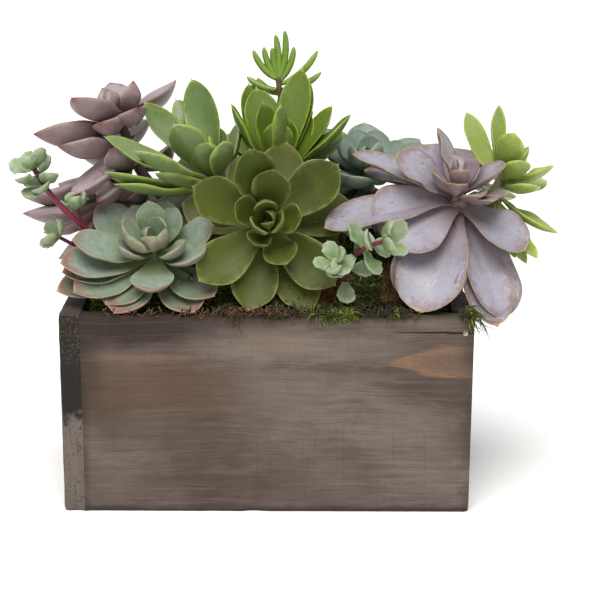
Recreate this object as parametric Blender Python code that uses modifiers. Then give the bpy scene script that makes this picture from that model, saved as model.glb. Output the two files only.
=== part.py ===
# Succulent dish garden: a nailed box of weathered boards, lined and filled with soil and moss,
# planted with nine succulents and two trailing sprigs. Metres, +Z up.
# Origin at the centre of the box's underside, +X along its length, the front at -Y.

import math

import bmesh
import bpy
from mathutils import Quaternion, Vector, noise
from mathutils.bvhtree import BVHTree

MM = 0.001

# Box of boards
BOX_LENGTH = 254 * MM
BOX_DEPTH = 127 * MM
BOX_HEIGHT = 127 * MM
BOARD = 13 * MM
GAP = 0.3 * MM
BOARD_ROUNDING = 0.8 * MM
SIDE_BOARDS_PROUD = 0.8 * MM

# Nails, three at each corner joint
NAIL_HEIGHTS = (13 * MM, 64 * MM, 117 * MM)
NAIL_INSET = 5.5 * MM
NAIL_LENGTH = 30 * MM
NAIL_RADIUS = 0.8 * MM
NAIL_HEAD_RADIUS = 1.6 * MM
NAIL_HEAD_THICKNESS = 0.8 * MM
NAIL_SIDES = 6

# Liner, soil and moss
LINER_WALL = 1.2 * MM
LINER_BELOW_RIM = 8 * MM
SOIL_EDGE = 115 * MM
MOUND = 46 * MM
MOUND_CENTRE_Y = 18 * MM
MOUND_SIDE_POWER = 4
MOUND_FRONT_POWER = 1.6
MOUND_BACK_POWER = 3
MOSS_THICKNESS = 8 * MM
MOSS_ROUGHNESS = 2.2 * MM
MOSS_TUFTS_PER_METRE = 95
MOSS_WISPS_PER_METRE = 210
MOSS_CELLS = (10, 4)

# Stems, and the short heart at a rosette's base, whose sizes are against the stem's radius
STEM_DEPTH = 24 * MM
STEM_ROUNDNESS = 1
STEM_UNDER_BASE = 1.6
HEART_SIDES = 8
HEART_FOOT = 1.5
HEART_TOP = 0.45
HEART_BELOW_BASE = 0.8
HEART_ABOVE_LEAVES = 1.1
HOLE_SIDES = 6

# Clear distance kept between the leaves of different plants, and how deep in its stem a leaf
# roots, as a share of the stem's radius from the middle out
LEAF_CLEARANCE = 0.5 * MM
ROOT_SHARE = 0.8

# Stations along a leaf at which its section is set, and points around each section. Short leaves
# and those behind have the heart's stations.
LEAF_STATIONS = (0.0, 0.32, 0.64, 0.88)
LEAF_SIDES = 4
HEART_STATIONS = (0.0, 0.45, 0.85)
HEART_LEAF_LENGTH = 30
FLESHY_SIDES = 6
FINGER_SIDES = 3

# Faces of a joined plant that meet at less than this angle become one face
FLAT_ENOUGH = 3

# Each leaf of a rosette is turned a little about its length, as grown leaves are
GROWN_ROLL = 5
GROWN_STEP = 2.4

# Tries that a leaf makes to find room, in this order: shorter, more open or closed, turned aside
TRIMS = (1.0, 0.88, 0.76, 0.64, 0.52)
LIFTS = (0, -3, 3, -7, 7, -12, 12, -18, 18, -26)
SWAYS = (0, -5, 5, -10, 10, -16, 16)

# Leaf kinds. thick is in millimetres, widest is the station of the greatest width, root the width
# there against the greatest, cup how far the edges rise against the half width, crown the share of
# the thickness above the middle, curl the bend of the whole leaf in degrees, blunt the roundness
# of the end.
KINDS = {
    "spoon": dict(thick=3.6, widest=0.66, root=0.30, cup=0.24, crown=0.10, curl=34, blunt=0.60),
    "wedge": dict(thick=3.0, widest=0.66, root=0.30, cup=0.20, crown=0.08, curl=26, blunt=0.66),
    "strap": dict(thick=2.6, widest=0.66, root=0.26, cup=0.18, crown=0.10, curl=14, blunt=0.72),
    "paddle": dict(thick=3.4, widest=0.66, root=0.26, cup=0.16, crown=0.05, curl=-20, blunt=0.52),
    "fleshy": dict(thick=13.0, widest=0.55, root=0.42, cup=0.06, crown=0.34, curl=16, blunt=0.85),
    "small": dict(thick=3.6, widest=0.62, root=0.36, cup=0.10, crown=0.30, curl=14, blunt=0.55),
    "finger": dict(thick=3.4, widest=0.40, root=0.70, cup=0.0, crown=0.50, curl=18, blunt=0.90),
}

# Plants. base is the foot of the rosette, tilt how far its axis leans from the vertical and
# heading the compass of that lean from +X, heart how far the inner leaves start above the base,
# foot where the stem enters the moss. A whorl is the openness from the axis, the leaf length, the
# leaf width, the clock of each leaf round the axis and, where the leaves are turned about their
# own length, that roll. Millimetres and degrees. The whorls behind find their room last.
ROSETTES = {
    "rosette_front": dict(
        kind="wedge",
        base=(0, -24, 175),
        tilt=68,
        heading=-90,
        heart=12,
        stem=4.5,
        foot=(1, 0),
        whorls=(
            (98, 58, 29, (164, -170, 14, 78)),
            (85, 62, 28, (-68,)),
            (79, 59, 30, (-137, -98, -43, 40)),
            (63, 56, 28, (157,)),
            (48, 56, 27, (105,)),
            (42, 43, 24, (82,)),
            (62, 34, 22, (-66,)),
            (40, 33, 19, (157, 2)),
            (44, 25, 16, (-116,)),
            (20, 27, 15, (100, -20, -140)),
            (9, 19, 9, (40, -80)),
        ),
        behind=((104, 50, 27, (118, -22)),),
    ),
    "echeveria_left": dict(
        kind="spoon",
        base=(-70, -21, 153),
        tilt=35,
        heading=-95,
        heart=9,
        stem=5.4,
        foot=(-70, -18),
        hole=9.5,
        whorls=(
            (87, 67, 28, (-156,)),
            (80, 61, 28, (-144, -178)),
            (72, 63, 28, (-161,)),
            (90, 55, 28, (-71, -110)),
            (91, 54, 28, (-45,)),
            (84, 51, 28, (-125,)),
            (80, 53, 28, (134, 154, 108, 82)),
            (70, 44, 27, (-90,)),
            (62, 56, 26, (-172,)),
            (62, 45, 24, (-40,)),
            (60, 36, 22, (118, 75)),
            (46, 33, 19, (-38, -150, 30)),
            (30, 34, 18, (-139, 96, -175)),
            (20, 25, 14, (-40, 60, -90)),
            (8, 19, 10, (150,)),
        ),
        behind=((92, 52, 27, (10, 42)), (62, 44, 24, (8,))),
    ),
    "echeveria_purple": dict(
        kind="paddle",
        base=(119, -8, 190),
        tilt=15,
        heading=-75,
        heart=12,
        stem=5.5,
        foot=(94, 0),
        whorls=(
            (135, 80, 44, (-104,)),
            (130, 74, 48, (-113,)),
            (131, 83, 34, (-68,)),
            (131, 79, 40, (-55,)),
            (104, 57, 54, (-133,), -24),
            (110, 54, 38, (-30,)),
            (99, 88, 34, (-173,)),
            (88, 64, 26, (156,)),
            (76, 71, 25, (168,)),
            (62, 47, 26, (176,), -20),
            (58, 49, 20, (107,), 40),
            (52, 36, 24, (-8,)),
            (74, 32, 17, (-45,)),
            (52, 26, 15, (100, -155)),
            (35, 22, 13, (-95, 30)),
            (12, 16, 8, (170,)),
        ),
        behind=((106, 58, 34, (95, 48, 130)), (80, 50, 30, (70, 122))),
    ),
    "rosette_back_left": dict(
        kind="strap",
        base=(-27, 2, 188),
        tilt=25,
        heading=175,
        heart=16,
        stem=5,
        foot=(-18, 6),
        whorls=(
            (61, 73, 20, (-156, 178)),
            (56, 79, 20, (-164,)),
            (47, 69, 20, (-134,)),
            (43, 84, 25, (-150,), -35),
            (54, 50, 18, (-141,)),
            (44, 44, 22, (28,)),
            (33, 70, 20, (100,)),
            (25, 72, 25, (142, 72)),
            (26, 52, 24, (-110,)),
            (42, 36, 20, (-50,)),
            (31, 36, 20, (-90, 40)),
            (14, 28, 13, (170, 0, 80)),
        ),
        behind=((84, 58, 22, (100, 128, 70, 155)), (62, 56, 22, (115, 85))),
    ),
    "rosette_back_centre": dict(
        kind="strap",
        base=(6, 16, 190),
        tilt=10,
        heading=-90,
        heart=14,
        stem=5,
        foot=(12, 20),
        whorls=(
            (42, 70, 24, (110,)),
            (38, 64, 25, (96,)),
            (36, 73, 23, (82,)),
            (31, 74, 22, (66,)),
            (34, 66, 25, (-24,)),
            (20, 48, 19, (-30, 150)),
            (20, 37, 20, (-95, 60)),
            (12, 26, 12, (20, 140, -110)),
        ),
        behind=(
            (88, 54, 23, (60, 90, 122, 35)),
            (66, 56, 24, (75, 105, 45, 140, 10)),
            (42, 60, 22, (28, 165)),
        ),
    ),
    "aeonium_right": dict(
        kind="strap",
        base=(146, 10, 190),
        tilt=20,
        heading=-10,
        heart=12,
        stem=4.5,
        foot=(101, 24),
        whorls=(
            (110, 54, 16, (-62,)),
            (96, 50, 15, (-39,)),
            (99, 46, 15, (-14,)),
            (82, 58, 18, (140,)),
            (64, 34, 18, (-48,)),
            (69, 38, 22, (27,)),
            (48, 38, 22, (-12,)),
            (47, 52, 15, (162,), -50),
            (30, 51, 15, (130,)),
            (42, 32, 18, (70, -75)),
            (24, 38, 19, (-114,)),
            (18, 28, 13, (0, 150)),
        ),
        behind=((95, 48, 18, (70, 105)), (62, 44, 18, (88,))),
    ),
    "echeveria_blue": dict(
        kind="spoon",
        base=(64, 32, 192),
        tilt=20,
        heading=-80,
        heart=9,
        stem=4.5,
        foot=(58, 26),
        whorls=(
            (64, 46, 26, (93, 34, 135)),
            (60, 44, 25, (8, -138, -108)),
            (44, 33, 21, (115, 75, 150, 20, -60)),
            (28, 26, 16, (90, -30, -150)),
            (12, 19, 10, (160, -10)),
        ),
        behind=(
            (88, 45, 26, (100, 62, 140, 22, 178)),
            (118, 46, 26, (-100, -145, -55, -10)),
        ),
    ),
}

# Leafy stems. Each stem is its radius, its way up from the moss, and its leaves: how far along
# the stem they root, the clock, the openness, the length and the width.
LEAFY_STEMS = {
    "ghost_plant_left": dict(
        kind="fleshy",
        stems=(
            dict(
                radius=4,
                path=((-62, 14, 108), (-62, 14, 172), (-71, 15, 187), (-86, 17, 208), (-96, 20, 238)),
                leaves=(
                    (1.00, -116, 66, 50, 24),
                    (1.00, 40, 80, 58, 24),
                    (0.98, -66, 84, 36, 22),
                    (1.00, 95, 52, 36, 22),
                    (1.00, 150, 60, 36, 22),
                    (1.00, -20, 45, 26, 16),
                    (1.00, 130, 24, 22, 13),
                    (1.00, -100, 24, 20, 12),
                    (0.92, -156, 78, 60, 26, 30),
                    (0.88, 85, 78, 48, 24),
                    (0.84, -135, 78, 55, 25),
                    (0.82, 140, 80, 48, 24),
                    (0.70, -137, 76, 54, 30, -45),
                    (0.76, -95, 70, 40, 24),
                    (0.72, 60, 85, 44, 24),
                    (0.62, 115, 85, 44, 24),
                    (0.46, 60, 92, 42, 24),
                ),
            ),
            dict(
                radius=3.4,
                path=((-84, 12, 108), (-84, 12, 157), (-92, 8, 169), (-104, 4, 186)),
                leaves=(
                    (1.00, -172, 62, 56, 20),
                    (1.00, 168, 88, 54, 19),
                    (0.97, -178, 104, 54, 19),
                    (0.94, 125, 84, 46, 20),
                    (0.84, 80, 84, 42, 20),
                    (0.98, 120, 45, 28, 15),
                    (0.98, -60, 40, 28, 15),
                ),
            ),
        ),
    ),
    "sedum_fingers": dict(
        kind="finger",
        stems=(
            dict(
                radius=2.2,
                path=((16, 46, 108), (16, 46, 150), (13, 45, 205), (8, 41, 242), (6, 40, 257)),
                leaves=(
                    (0.96, 174, 58, 24, 4.4),
                    (1.00, 160, 34, 26, 4.4),
                    (1.00, 142, 20, 24, 4.2),
                    (1.00, 110, 8, 22, 4.4),
                    (1.00, 72, 12, 30, 4.6),
                    (1.00, 45, 20, 33, 4.6),
                    (0.99, 24, 34, 26, 4.4),
                    (0.98, 10, 56, 34, 4.4),
                    (0.96, 5, 78, 31, 4.4),
                    (0.97, 90, 50, 24, 4.4),
                    (0.94, 130, 66, 24, 4.4),
                    (0.90, 60, 64, 26, 4.4),
                    (0.86, 175, 60, 24, 4.4),
                    (0.82, 100, 64, 25, 4.4),
                    (0.76, 30, 64, 25, 4.4),
                    (0.70, 150, 64, 25, 4.4),
                    (0.64, 80, 66, 25, 4.4),
                    (0.57, 20, 66, 25, 4.4),
                    (0.50, 130, 66, 24, 4.4),
                ),
            ),
        ),
    ),
    "sprig_left": dict(
        kind="small",
        stems=(
            dict(
                radius=1.5,
                path=(
                    (-95, 2, 104),
                    (-95, 2, 150),
                    (-104, -12, 160),
                    (-118, -26, 177),
                    (-133, -34, 196),
                    (-142, -36, 212),
                ),
                leaves=(
                    (1.00, -80, 35, 16, 11),
                    (1.00, 100, 35, 16, 11),
                    (1.00, -5, 48, 19, 13, -40),
                    (1.00, 175, 48, 19, 13, -40),
                    (0.94, 50, 66, 18, 13),
                    (0.94, -130, 66, 20, 14),
                    (0.89, -45, 72, 20, 14, -40),
                    (0.89, 135, 76, 19, 13),
                    (0.83, -100, 95, 19, 14),
                    (0.83, 70, 100, 17, 13),
                    (0.78, -20, 118, 17, 13, -50),
                    (0.78, -165, 112, 18, 13, -50),
                ),
            ),
            dict(
                radius=1.4,
                path=((-102, -9, 158), (-116, -22, 160), (-129, -29, 168)),
                leaves=(
                    (1.00, 180, 50, 14, 10),
                    (1.00, 0, 50, 14, 10),
                    (1.00, 90, 45, 14, 10),
                    (1.00, -90, 45, 14, 10),
                ),
            ),
            dict(
                radius=1.4,
                path=((-110, -18, 166), (-116, -19, 175), (-119, -20, 184)),
                leaves=(
                    (1.00, 200, 40, 13, 9),
                    (1.00, 20, 40, 13, 9),
                    (1.00, 110, 35, 13, 9),
                    (1.00, -70, 35, 13, 9),
                ),
            ),
        ),
    ),
    "sprig_front": dict(
        kind="small",
        stems=(
            dict(
                radius=1.7,
                path=(
                    (47, -41, 106),
                    (47, -41, 140),
                    (49, -47, 152),
                    (54, -54, 164),
                    (62, -60, 171),
                    (70, -63, 174),
                ),
                leaves=(
                    (1.00, 0, 45, 17, 12),
                    (1.00, 180, 45, 17, 12),
                    (1.00, 90, 50, 21, 13),
                    (1.00, -90, 50, 18, 13),
                    (0.91, 45, 75, 19, 13),
                    (0.91, 225, 75, 19, 13),
                    (0.83, -35, 85, 19, 13),
                    (0.83, 145, 85, 20, 13),
                    (0.74, 250, 110, 20, 13),
                    (0.74, 70, 60, 18, 12),
                    (0.60, 200, 90, 18, 12),
                    (0.60, 20, 90, 17, 12),
                    (0.48, -80, 110, 17, 12),
                ),
            ),
            dict(
                radius=1.4,
                path=((48, -44, 147), (44, -52, 152), (41, -57, 159)),
                leaves=(
                    (1.00, 180, 60, 14, 10),
                    (1.00, 0, 40, 14, 10),
                    (1.00, 90, 50, 15, 10),
                    (1.00, -90, 60, 14, 10),
                ),
            ),
        ),
    ),
}

# Plants in the order in which their leaves take their room
PLANTING_ORDER = (
    "rosette_front",
    "sprig_front",
    "echeveria_purple",
    "echeveria_left",
    "sprig_left",
    "rosette_back_left",
    "rosette_back_centre",
    "aeonium_right",
    "ghost_plant_left",
    "echeveria_blue",
    "sedum_fingers",
)

# Colour, roughness and metallic value of each finish
FINISHES = {
    "weathered_wood": ((0.145, 0.105, 0.078), 0.82, 0.0),
    "steel": ((0.16, 0.155, 0.15), 0.45, 1.0),
    "plastic": ((0.03, 0.03, 0.03), 0.5, 0.0),
    "soil": ((0.035, 0.022, 0.014), 0.95, 0.0),
    "moss": ((0.10, 0.12, 0.02), 0.95, 0.0),
    "rosette_front": ((0.12, 0.20, 0.06), 0.45, 0.0),
    "echeveria_left": ((0.25, 0.35, 0.26), 0.55, 0.0),
    "echeveria_purple": ((0.36, 0.29, 0.36), 0.5, 0.0),
    "rosette_back_left": ((0.20, 0.31, 0.10), 0.45, 0.0),
    "rosette_back_centre": ((0.15, 0.27, 0.04), 0.45, 0.0),
    "aeonium_right": ((0.26, 0.42, 0.08), 0.4, 0.0),
    "ghost_plant_left": ((0.24, 0.17, 0.16), 0.55, 0.0),
    "echeveria_blue": ((0.20, 0.33, 0.27), 0.55, 0.0),
    "sedum_fingers": ((0.20, 0.34, 0.06), 0.4, 0.0),
    "sprig_left": ((0.30, 0.42, 0.28), 0.5, 0.0),
    "sprig_front": ((0.30, 0.42, 0.28), 0.5, 0.0),
}


def clear_scene():
    for found in list(bpy.data.objects):
        bpy.data.objects.remove(found, do_unlink=True)


def new_collection(name):
    made = bpy.data.collections.new(name)
    bpy.context.scene.collection.children.link(made)
    return made


def finish(name):
    """The material of that finish, made once."""
    made = bpy.data.materials.get(name)
    if made:
        return made
    colour, roughness, metallic = FINISHES[name]
    made = bpy.data.materials.new(name)
    made.use_nodes = True
    shader = made.node_tree.nodes["Principled BSDF"]
    shader.inputs["Base Color"].default_value = (*colour, 1.0)
    shader.inputs["Roughness"].default_value = roughness
    shader.inputs["Metallic"].default_value = metallic
    made.diffuse_color = (*colour, 1.0)
    return made


def mesh_object(name, mesh, collection, finish_name=None):
    made = bpy.data.objects.new(name, mesh)
    collection.objects.link(made)
    if finish_name:
        mesh.materials.clear()
        mesh.materials.append(finish(finish_name))
    return made


def object_from_bmesh(name, bm, collection, finish_name=None):
    mesh = bpy.data.meshes.new(name)
    bm.to_mesh(mesh)
    bm.free()
    return mesh_object(name, mesh, collection, finish_name)


def mark_cutter(cutter):
    cutter.hide_render = True
    cutter.display_type = "WIRE"


def apply_modifiers(target):
    """Replaces the object's mesh with the one its modifiers give."""
    graph = bpy.context.evaluated_depsgraph_get()
    mesh = bpy.data.meshes.new_from_object(target.evaluated_get(graph))
    old = target.data
    target.modifiers.clear()
    target.data = mesh
    bpy.data.meshes.remove(old)


def boolean(target, others, operation):
    """Applies one Boolean with a collection of objects, then removes them."""
    if not others:
        return
    group = new_collection(target.name + "_others")
    for other in others:
        for holder in list(other.users_collection):
            holder.objects.unlink(other)
        group.objects.link(other)
    modifier = target.modifiers.new("join", "BOOLEAN")
    modifier.operation = operation
    modifier.operand_type = "COLLECTION"
    modifier.collection = group
    modifier.solver = "EXACT"
    apply_modifiers(target)
    for other in others:
        bpy.data.objects.remove(other, do_unlink=True)
    bpy.data.collections.remove(group)


def board(name, low, high, collection):
    """A sawn board between two corners, its long edges slightly rounded."""
    low = Vector(low)
    high = Vector(high)
    bm = bmesh.new()
    bmesh.ops.create_cube(bm, size=1.0)
    bmesh.ops.scale(bm, vec=high - low, verts=bm.verts)
    bmesh.ops.translate(bm, vec=(low + high) / 2, verts=bm.verts)
    made = object_from_bmesh(name, bm, collection, "weathered_wood")
    rounding = made.modifiers.new("rounded edges", "BEVEL")
    rounding.width = BOARD_ROUNDING
    rounding.segments = 1
    apply_modifiers(made)
    return made


def turned(name, profile, sides, collection, finish_name=None):
    """A solid turned about Z from (radius, height) points, listed from the top down its outside."""
    mesh = bpy.data.meshes.new(name)
    edges = [(i, i + 1) for i in range(len(profile) - 1)]
    mesh.from_pydata([(radius, 0, height) for radius, height in profile], edges, [])
    made = mesh_object(name, mesh, collection, finish_name)
    turning = made.modifiers.new("turned", "SCREW")
    turning.steps = sides
    turning.render_steps = sides
    turning.use_merge_vertices = True
    turning.merge_threshold = 0.00001
    apply_modifiers(made)
    if finish_name:
        made.data.materials.clear()
        made.data.materials.append(finish(finish_name))
    return made


def nail_profile(extra):
    """Nail pointing along -Z with its head's top at the origin, larger all round by extra."""
    spread = 1 / math.cos(math.pi / NAIL_SIDES) if extra else 1
    head = (NAIL_HEAD_RADIUS + extra) * spread
    shank = (NAIL_RADIUS + extra) * spread
    top = 10 * extra
    return (
        (0, top),
        (head, top),
        (head, -NAIL_HEAD_THICKNESS - extra),
        (shank, -NAIL_HEAD_THICKNESS - extra),
        (shank, -NAIL_LENGTH + 2 * NAIL_RADIUS - extra),
        (0, -NAIL_LENGTH - extra),
    )


def place(target, point, direction):
    """Moves the mesh so that its origin is at the point and its +Z along the direction."""
    turn = Vector((0, 0, 1)).rotation_difference(Vector(direction)).to_matrix().to_4x4()
    turn.translation = Vector(point)
    target.data.transform(turn)


def nail_places():
    """Name, head centre, outward direction, and the two boards that each nail joins."""
    x = BOX_LENGTH / 2
    y = BOX_DEPTH / 2
    sides = (
        ("front", (x - NAIL_INSET, -y), (0, -1, 0), ("board_front", "board_right")),
        ("right", (x, y - NAIL_INSET), (1, 0, 0), ("board_right", "board_back")),
        ("back", (-x + NAIL_INSET, y), (0, 1, 0), ("board_back", "board_left")),
        ("left", (-x, -y + NAIL_INSET), (-1, 0, 0), ("board_left", "board_front")),
    )
    for side, (nx, ny), outward, boards in sides:
        for level, height in zip(("low", "middle", "high"), NAIL_HEIGHTS):
            yield f"nail_{side}_{level}", (nx, ny, height), outward, boards


def build_box(parts, cutters):
    """Four wall boards that lap one another round the corners, a bottom board, and the nails."""
    x = BOX_LENGTH / 2
    y = BOX_DEPTH / 2
    inner_x = x - BOARD
    inner_y = y - BOARD
    tall = BOX_HEIGHT + SIDE_BOARDS_PROUD
    boards = {
        "board_front": ((-inner_x + GAP, -y, 0), (x, -inner_y, BOX_HEIGHT)),
        "board_right": ((inner_x, -inner_y + GAP, 0), (x, y, tall)),
        "board_back": ((-x, inner_y, 0), (inner_x - GAP, y, BOX_HEIGHT)),
        "board_left": ((-x, -y, 0), (-inner_x, inner_y - GAP, tall)),
    }
    made = {name: board(name, low, high, parts) for name, (low, high) in boards.items()}
    board(
        "board_bottom",
        (-inner_x + GAP, -inner_y + GAP, 0),
        (inner_x - GAP, inner_y - GAP, BOARD),
        parts,
    )
    cuts = {name: [] for name in made}
    for name, point, outward, joined in nail_places():
        nail = turned(name, nail_profile(0), NAIL_SIDES, parts, "steel")
        place(nail, point, outward)
        for board_name in joined:
            cutter = turned(name + "_hole", nail_profile(GAP), NAIL_SIDES, cutters)
            place(cutter, point, outward)
            mark_cutter(cutter)
            cuts[board_name].append(cutter)
    for name, group in cuts.items():
        boolean(made[name], group, "DIFFERENCE")
    return list(made.values())


def mound_height(x, y):
    """Height of the soil's top over the box's floor plan."""
    across = min(1, abs(x) / (BOX_LENGTH / 2 - BOARD))
    inner_y = BOX_DEPTH / 2 - BOARD
    if y < MOUND_CENTRE_Y:
        deep = min(1, (MOUND_CENTRE_Y - y) / (inner_y + MOUND_CENTRE_Y)) ** MOUND_FRONT_POWER
    else:
        deep = min(1, (y - MOUND_CENTRE_Y) / (inner_y - MOUND_CENTRE_Y)) ** MOUND_BACK_POWER
    return SOIL_EDGE + MOUND * (1 - across**MOUND_SIDE_POWER) * (1 - deep)


def moss_height(x, y):
    """Height of the moss's top: the soil's, the moss's thickness, and its tufts."""
    tufts = noise.noise(Vector((x, y, 0)) * MOSS_TUFTS_PER_METRE)
    wisps = noise.noise(Vector((y, x, 0.3)) * MOSS_WISPS_PER_METRE)
    top = mound_height(x, y) + MOSS_THICKNESS + GAP
    return top + MOSS_ROUGHNESS * (tufts + 0.6 * wisps)


def blanket(name, half_x, half_y, top, bottom, collection, finish_name):
    """A closed slab on a grid, with the top and bottom heights given as functions of the place."""
    columns, rows = MOSS_CELLS
    bm = bmesh.new()
    bmesh.ops.create_grid(bm, x_segments=columns, y_segments=rows, size=1.0)
    bmesh.ops.scale(bm, vec=(half_x, half_y, 1), verts=bm.verts)
    bmesh.ops.triangulate(bm, faces=bm.faces)
    upper = list(bm.verts)
    grown = bmesh.ops.extrude_face_region(bm, geom=list(bm.faces))
    lower_faces = [item for item in grown["geom"] if isinstance(item, bmesh.types.BMFace)]
    for vert in [item for item in grown["geom"] if isinstance(item, bmesh.types.BMVert)]:
        vert.co.z = bottom(vert.co.x, vert.co.y)
    for vert in upper:
        vert.co.z = top(vert.co.x, vert.co.y)
    bmesh.ops.reverse_faces(bm, faces=lower_faces)
    bmesh.ops.recalc_face_normals(bm, faces=bm.faces)
    flat = math.radians(0.1)
    bmesh.ops.dissolve_limit(bm, angle_limit=flat, verts=bm.verts, edges=bm.edges)
    bmesh.ops.triangulate(bm, faces=bm.faces)
    return object_from_bmesh(name, bm, collection, finish_name)


def build_liner(parts, cutters):
    """A thin tray that stands inside the boards."""
    half_x = BOX_LENGTH / 2 - BOARD - GAP
    half_y = BOX_DEPTH / 2 - BOARD - GAP
    floor = BOARD + GAP
    top = BOX_HEIGHT - LINER_BELOW_RIM
    outside = bmesh.new()
    bmesh.ops.create_cube(outside, size=1.0)
    bmesh.ops.scale(outside, vec=(2 * half_x, 2 * half_y, top - floor), verts=outside.verts)
    bmesh.ops.translate(outside, vec=(0, 0, (top + floor) / 2), verts=outside.verts)
    liner = object_from_bmesh("liner_tray", outside, parts, "plastic")
    inside = bmesh.new()
    bmesh.ops.create_cube(inside, size=1.0)
    room = (2 * (half_x - LINER_WALL), 2 * (half_y - LINER_WALL), top - floor)
    bmesh.ops.scale(inside, vec=room, verts=inside.verts)
    bmesh.ops.translate(inside, vec=(0, 0, (top + floor) / 2 + LINER_WALL), verts=inside.verts)
    cutter = object_from_bmesh("liner_room", inside, cutters)
    mark_cutter(cutter)
    boolean(liner, [cutter], "DIFFERENCE")
    return liner


def build_filling(parts):
    """Soil in the liner and a blanket of moss over it."""
    inside = LINER_WALL + 2 * GAP
    half_x = BOX_LENGTH / 2 - BOARD - inside
    half_y = BOX_DEPTH / 2 - BOARD - inside
    soil_floor = BOARD + LINER_WALL + 2 * GAP
    soil = blanket(
        "soil", half_x, half_y, mound_height, lambda x, y: soil_floor, parts, "soil"
    )
    moss = blanket(
        "moss",
        half_x,
        half_y,
        moss_height,
        lambda x, y: mound_height(x, y) + GAP,
        parts,
        "moss",
    )
    return soil, moss


def leaf_shape(kind, length, width, extra, stations, sides):
    """Points of a leaf along +X with its upper side towards +Z, and its faces.

    The outline swells to the widest station and rounds off to the tip, the middle line is an
    arc, the edges rise by the cup, and each section is an ellipse with the crown's share above.
    """
    form = KINDS[kind]
    curl = math.radians(form["curl"])
    radius = length / (2 * math.sin(curl / 2))
    points = []
    for station in stations:
        middle_x, middle_z, lean = arc_point(radius, length, curl, station)
        half = width / 2 * outline(station, form)
        thick = (form["thick"] * MM + 2 * extra) * body(station) * min(1, 2.2 * half / width)
        for side in range(sides):
            angle = 2 * math.pi * side / sides
            across = math.cos(angle)
            up = math.sin(angle)
            share = form["crown"] if up > 0 else 1 - form["crown"]
            rise = form["cup"] * half * across * across + thick * share * up
            points.append(
                (middle_x - math.sin(lean) * rise, half * across, middle_z + math.cos(lean) * rise)
            )
    tip_x, tip_z, lean = arc_point(radius, length, curl, 1.0)
    points.append((tip_x, 0, tip_z))
    faces = [tuple(range(sides))[::-1]]
    for band in range(len(stations) - 1):
        for side in range(sides):
            faces += leaf_band(band * sides, side, sides)
    last = (len(stations) - 1) * sides
    faces += [(last + side, last + (side + 1) % sides, len(points) - 1) for side in range(sides)]
    return points, faces


def arc_point(radius, length, curl, station):
    """Place on the leaf's middle line, and its slope there."""
    lean = curl * (station - 0.5)
    x = length / 2 + radius * math.sin(lean)
    z = radius * (math.cos(curl / 2) - math.cos(lean))
    return x, z, lean


def outline(station, form):
    """Half width against the greatest one."""
    if station <= form["widest"]:
        grown = math.sin(math.pi / 2 * station / form["widest"]) ** 1.4
        return form["root"] + (1 - form["root"]) * grown
    left = (station - form["widest"]) / (1 - form["widest"])
    return (1 - left**2) ** form["blunt"]


def body(station):
    """Thickness against the greatest one."""
    return 0.72 + 0.28 * math.sin(math.pi * station)


def leaf_band(start, side, sides):
    """Two triangles between neighbouring sections, split alike on the upper and lower side."""
    here = start + side
    beside = start + (side + 1) % sides
    here_next = here + sides
    beside_next = beside + sides
    rising = side % (sides // 2) < sides / 4
    if rising:
        return [(here, beside_next, here_next), (here, beside, beside_next)]
    return [(here, beside, here_next), (beside, beside_next, here_next)]


def leaf_axes(up, clock, openness, roll):
    """Directions of a leaf's length, width and upper side about a stem's direction."""
    turn = Vector((0, 0, 1)).rotation_difference(Vector(up))
    clock = math.radians(clock)
    openness = math.radians(openness)
    along = Vector(
        (
            math.sin(openness) * math.cos(clock),
            math.sin(openness) * math.sin(clock),
            math.cos(openness),
        )
    )
    side = Quaternion(along, math.radians(roll)) @ Vector((-math.sin(clock), math.cos(clock), 0))
    return turn @ along, turn @ side, turn @ along.cross(side)


def placed_leaf(spec, trim, lift, sway, extra):
    """Points and faces of a leaf in the box's frame, larger all round by extra."""
    along, side, above = leaf_axes(
        spec["up"], spec["clock"] + sway, spec["openness"] + lift, spec["roll"]
    )
    length = spec["length"] * MM * trim - spec["sunk"] + extra
    width = spec["width"] * MM * (0.5 + 0.5 * trim) + 2 * extra
    stations, sides = leaf_detail(spec)
    points, faces = leaf_shape(spec["kind"], length, width, extra, stations, sides)
    root = Vector(spec["root"]) + along * spec["sunk"]
    return [root + along * x + side * y + above * z for x, y, z in points], faces


def leaf_detail(spec):
    """Stations and sides that a leaf is built with."""
    if spec["kind"] == "finger":
        return HEART_STATIONS, FINGER_SIDES
    sides = FLESHY_SIDES if spec["kind"] == "fleshy" else LEAF_SIDES
    plain = spec["length"] <= HEART_LEAF_LENGTH or spec["rows"] == "behind"
    return (HEART_STATIONS if plain else LEAF_STATIONS), sides


def inside_any(point, taken):
    for tree in taken:
        found = tree.find_nearest(point, 0.02)
        if found[0] is not None and (point - found[0]).dot(found[1]) < 0:
            return True
    return False


def settle(spec, taken):
    """The leaf bent, turned or shortened just enough to stand clear of what is placed already."""
    for trim in TRIMS:
        for lift in LIFTS:
            for sway in SWAYS:
                points, faces = placed_leaf(spec, trim, lift, sway, LEAF_CLEARANCE)
                tree = BVHTree.FromPolygons(points, faces)
                if any(tree.overlap(other) for other in taken):
                    continue
                if inside_any(points[-1], taken):
                    continue
                return placed_leaf(spec, trim, lift, sway, 0)
    return None


def mesh_tree(target):
    """A search tree of an object whose mesh is in place."""
    mesh = target.data
    points = [vert.co.copy() for vert in mesh.vertices]
    return BVHTree.FromPolygons(points, [tuple(face.vertices) for face in mesh.polygons])


def loose_mesh(name, points, faces, collection):
    mesh = bpy.data.meshes.new(name)
    mesh.from_pydata([tuple(point) for point in points], [], faces)
    return mesh_object(name, mesh, collection)


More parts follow.
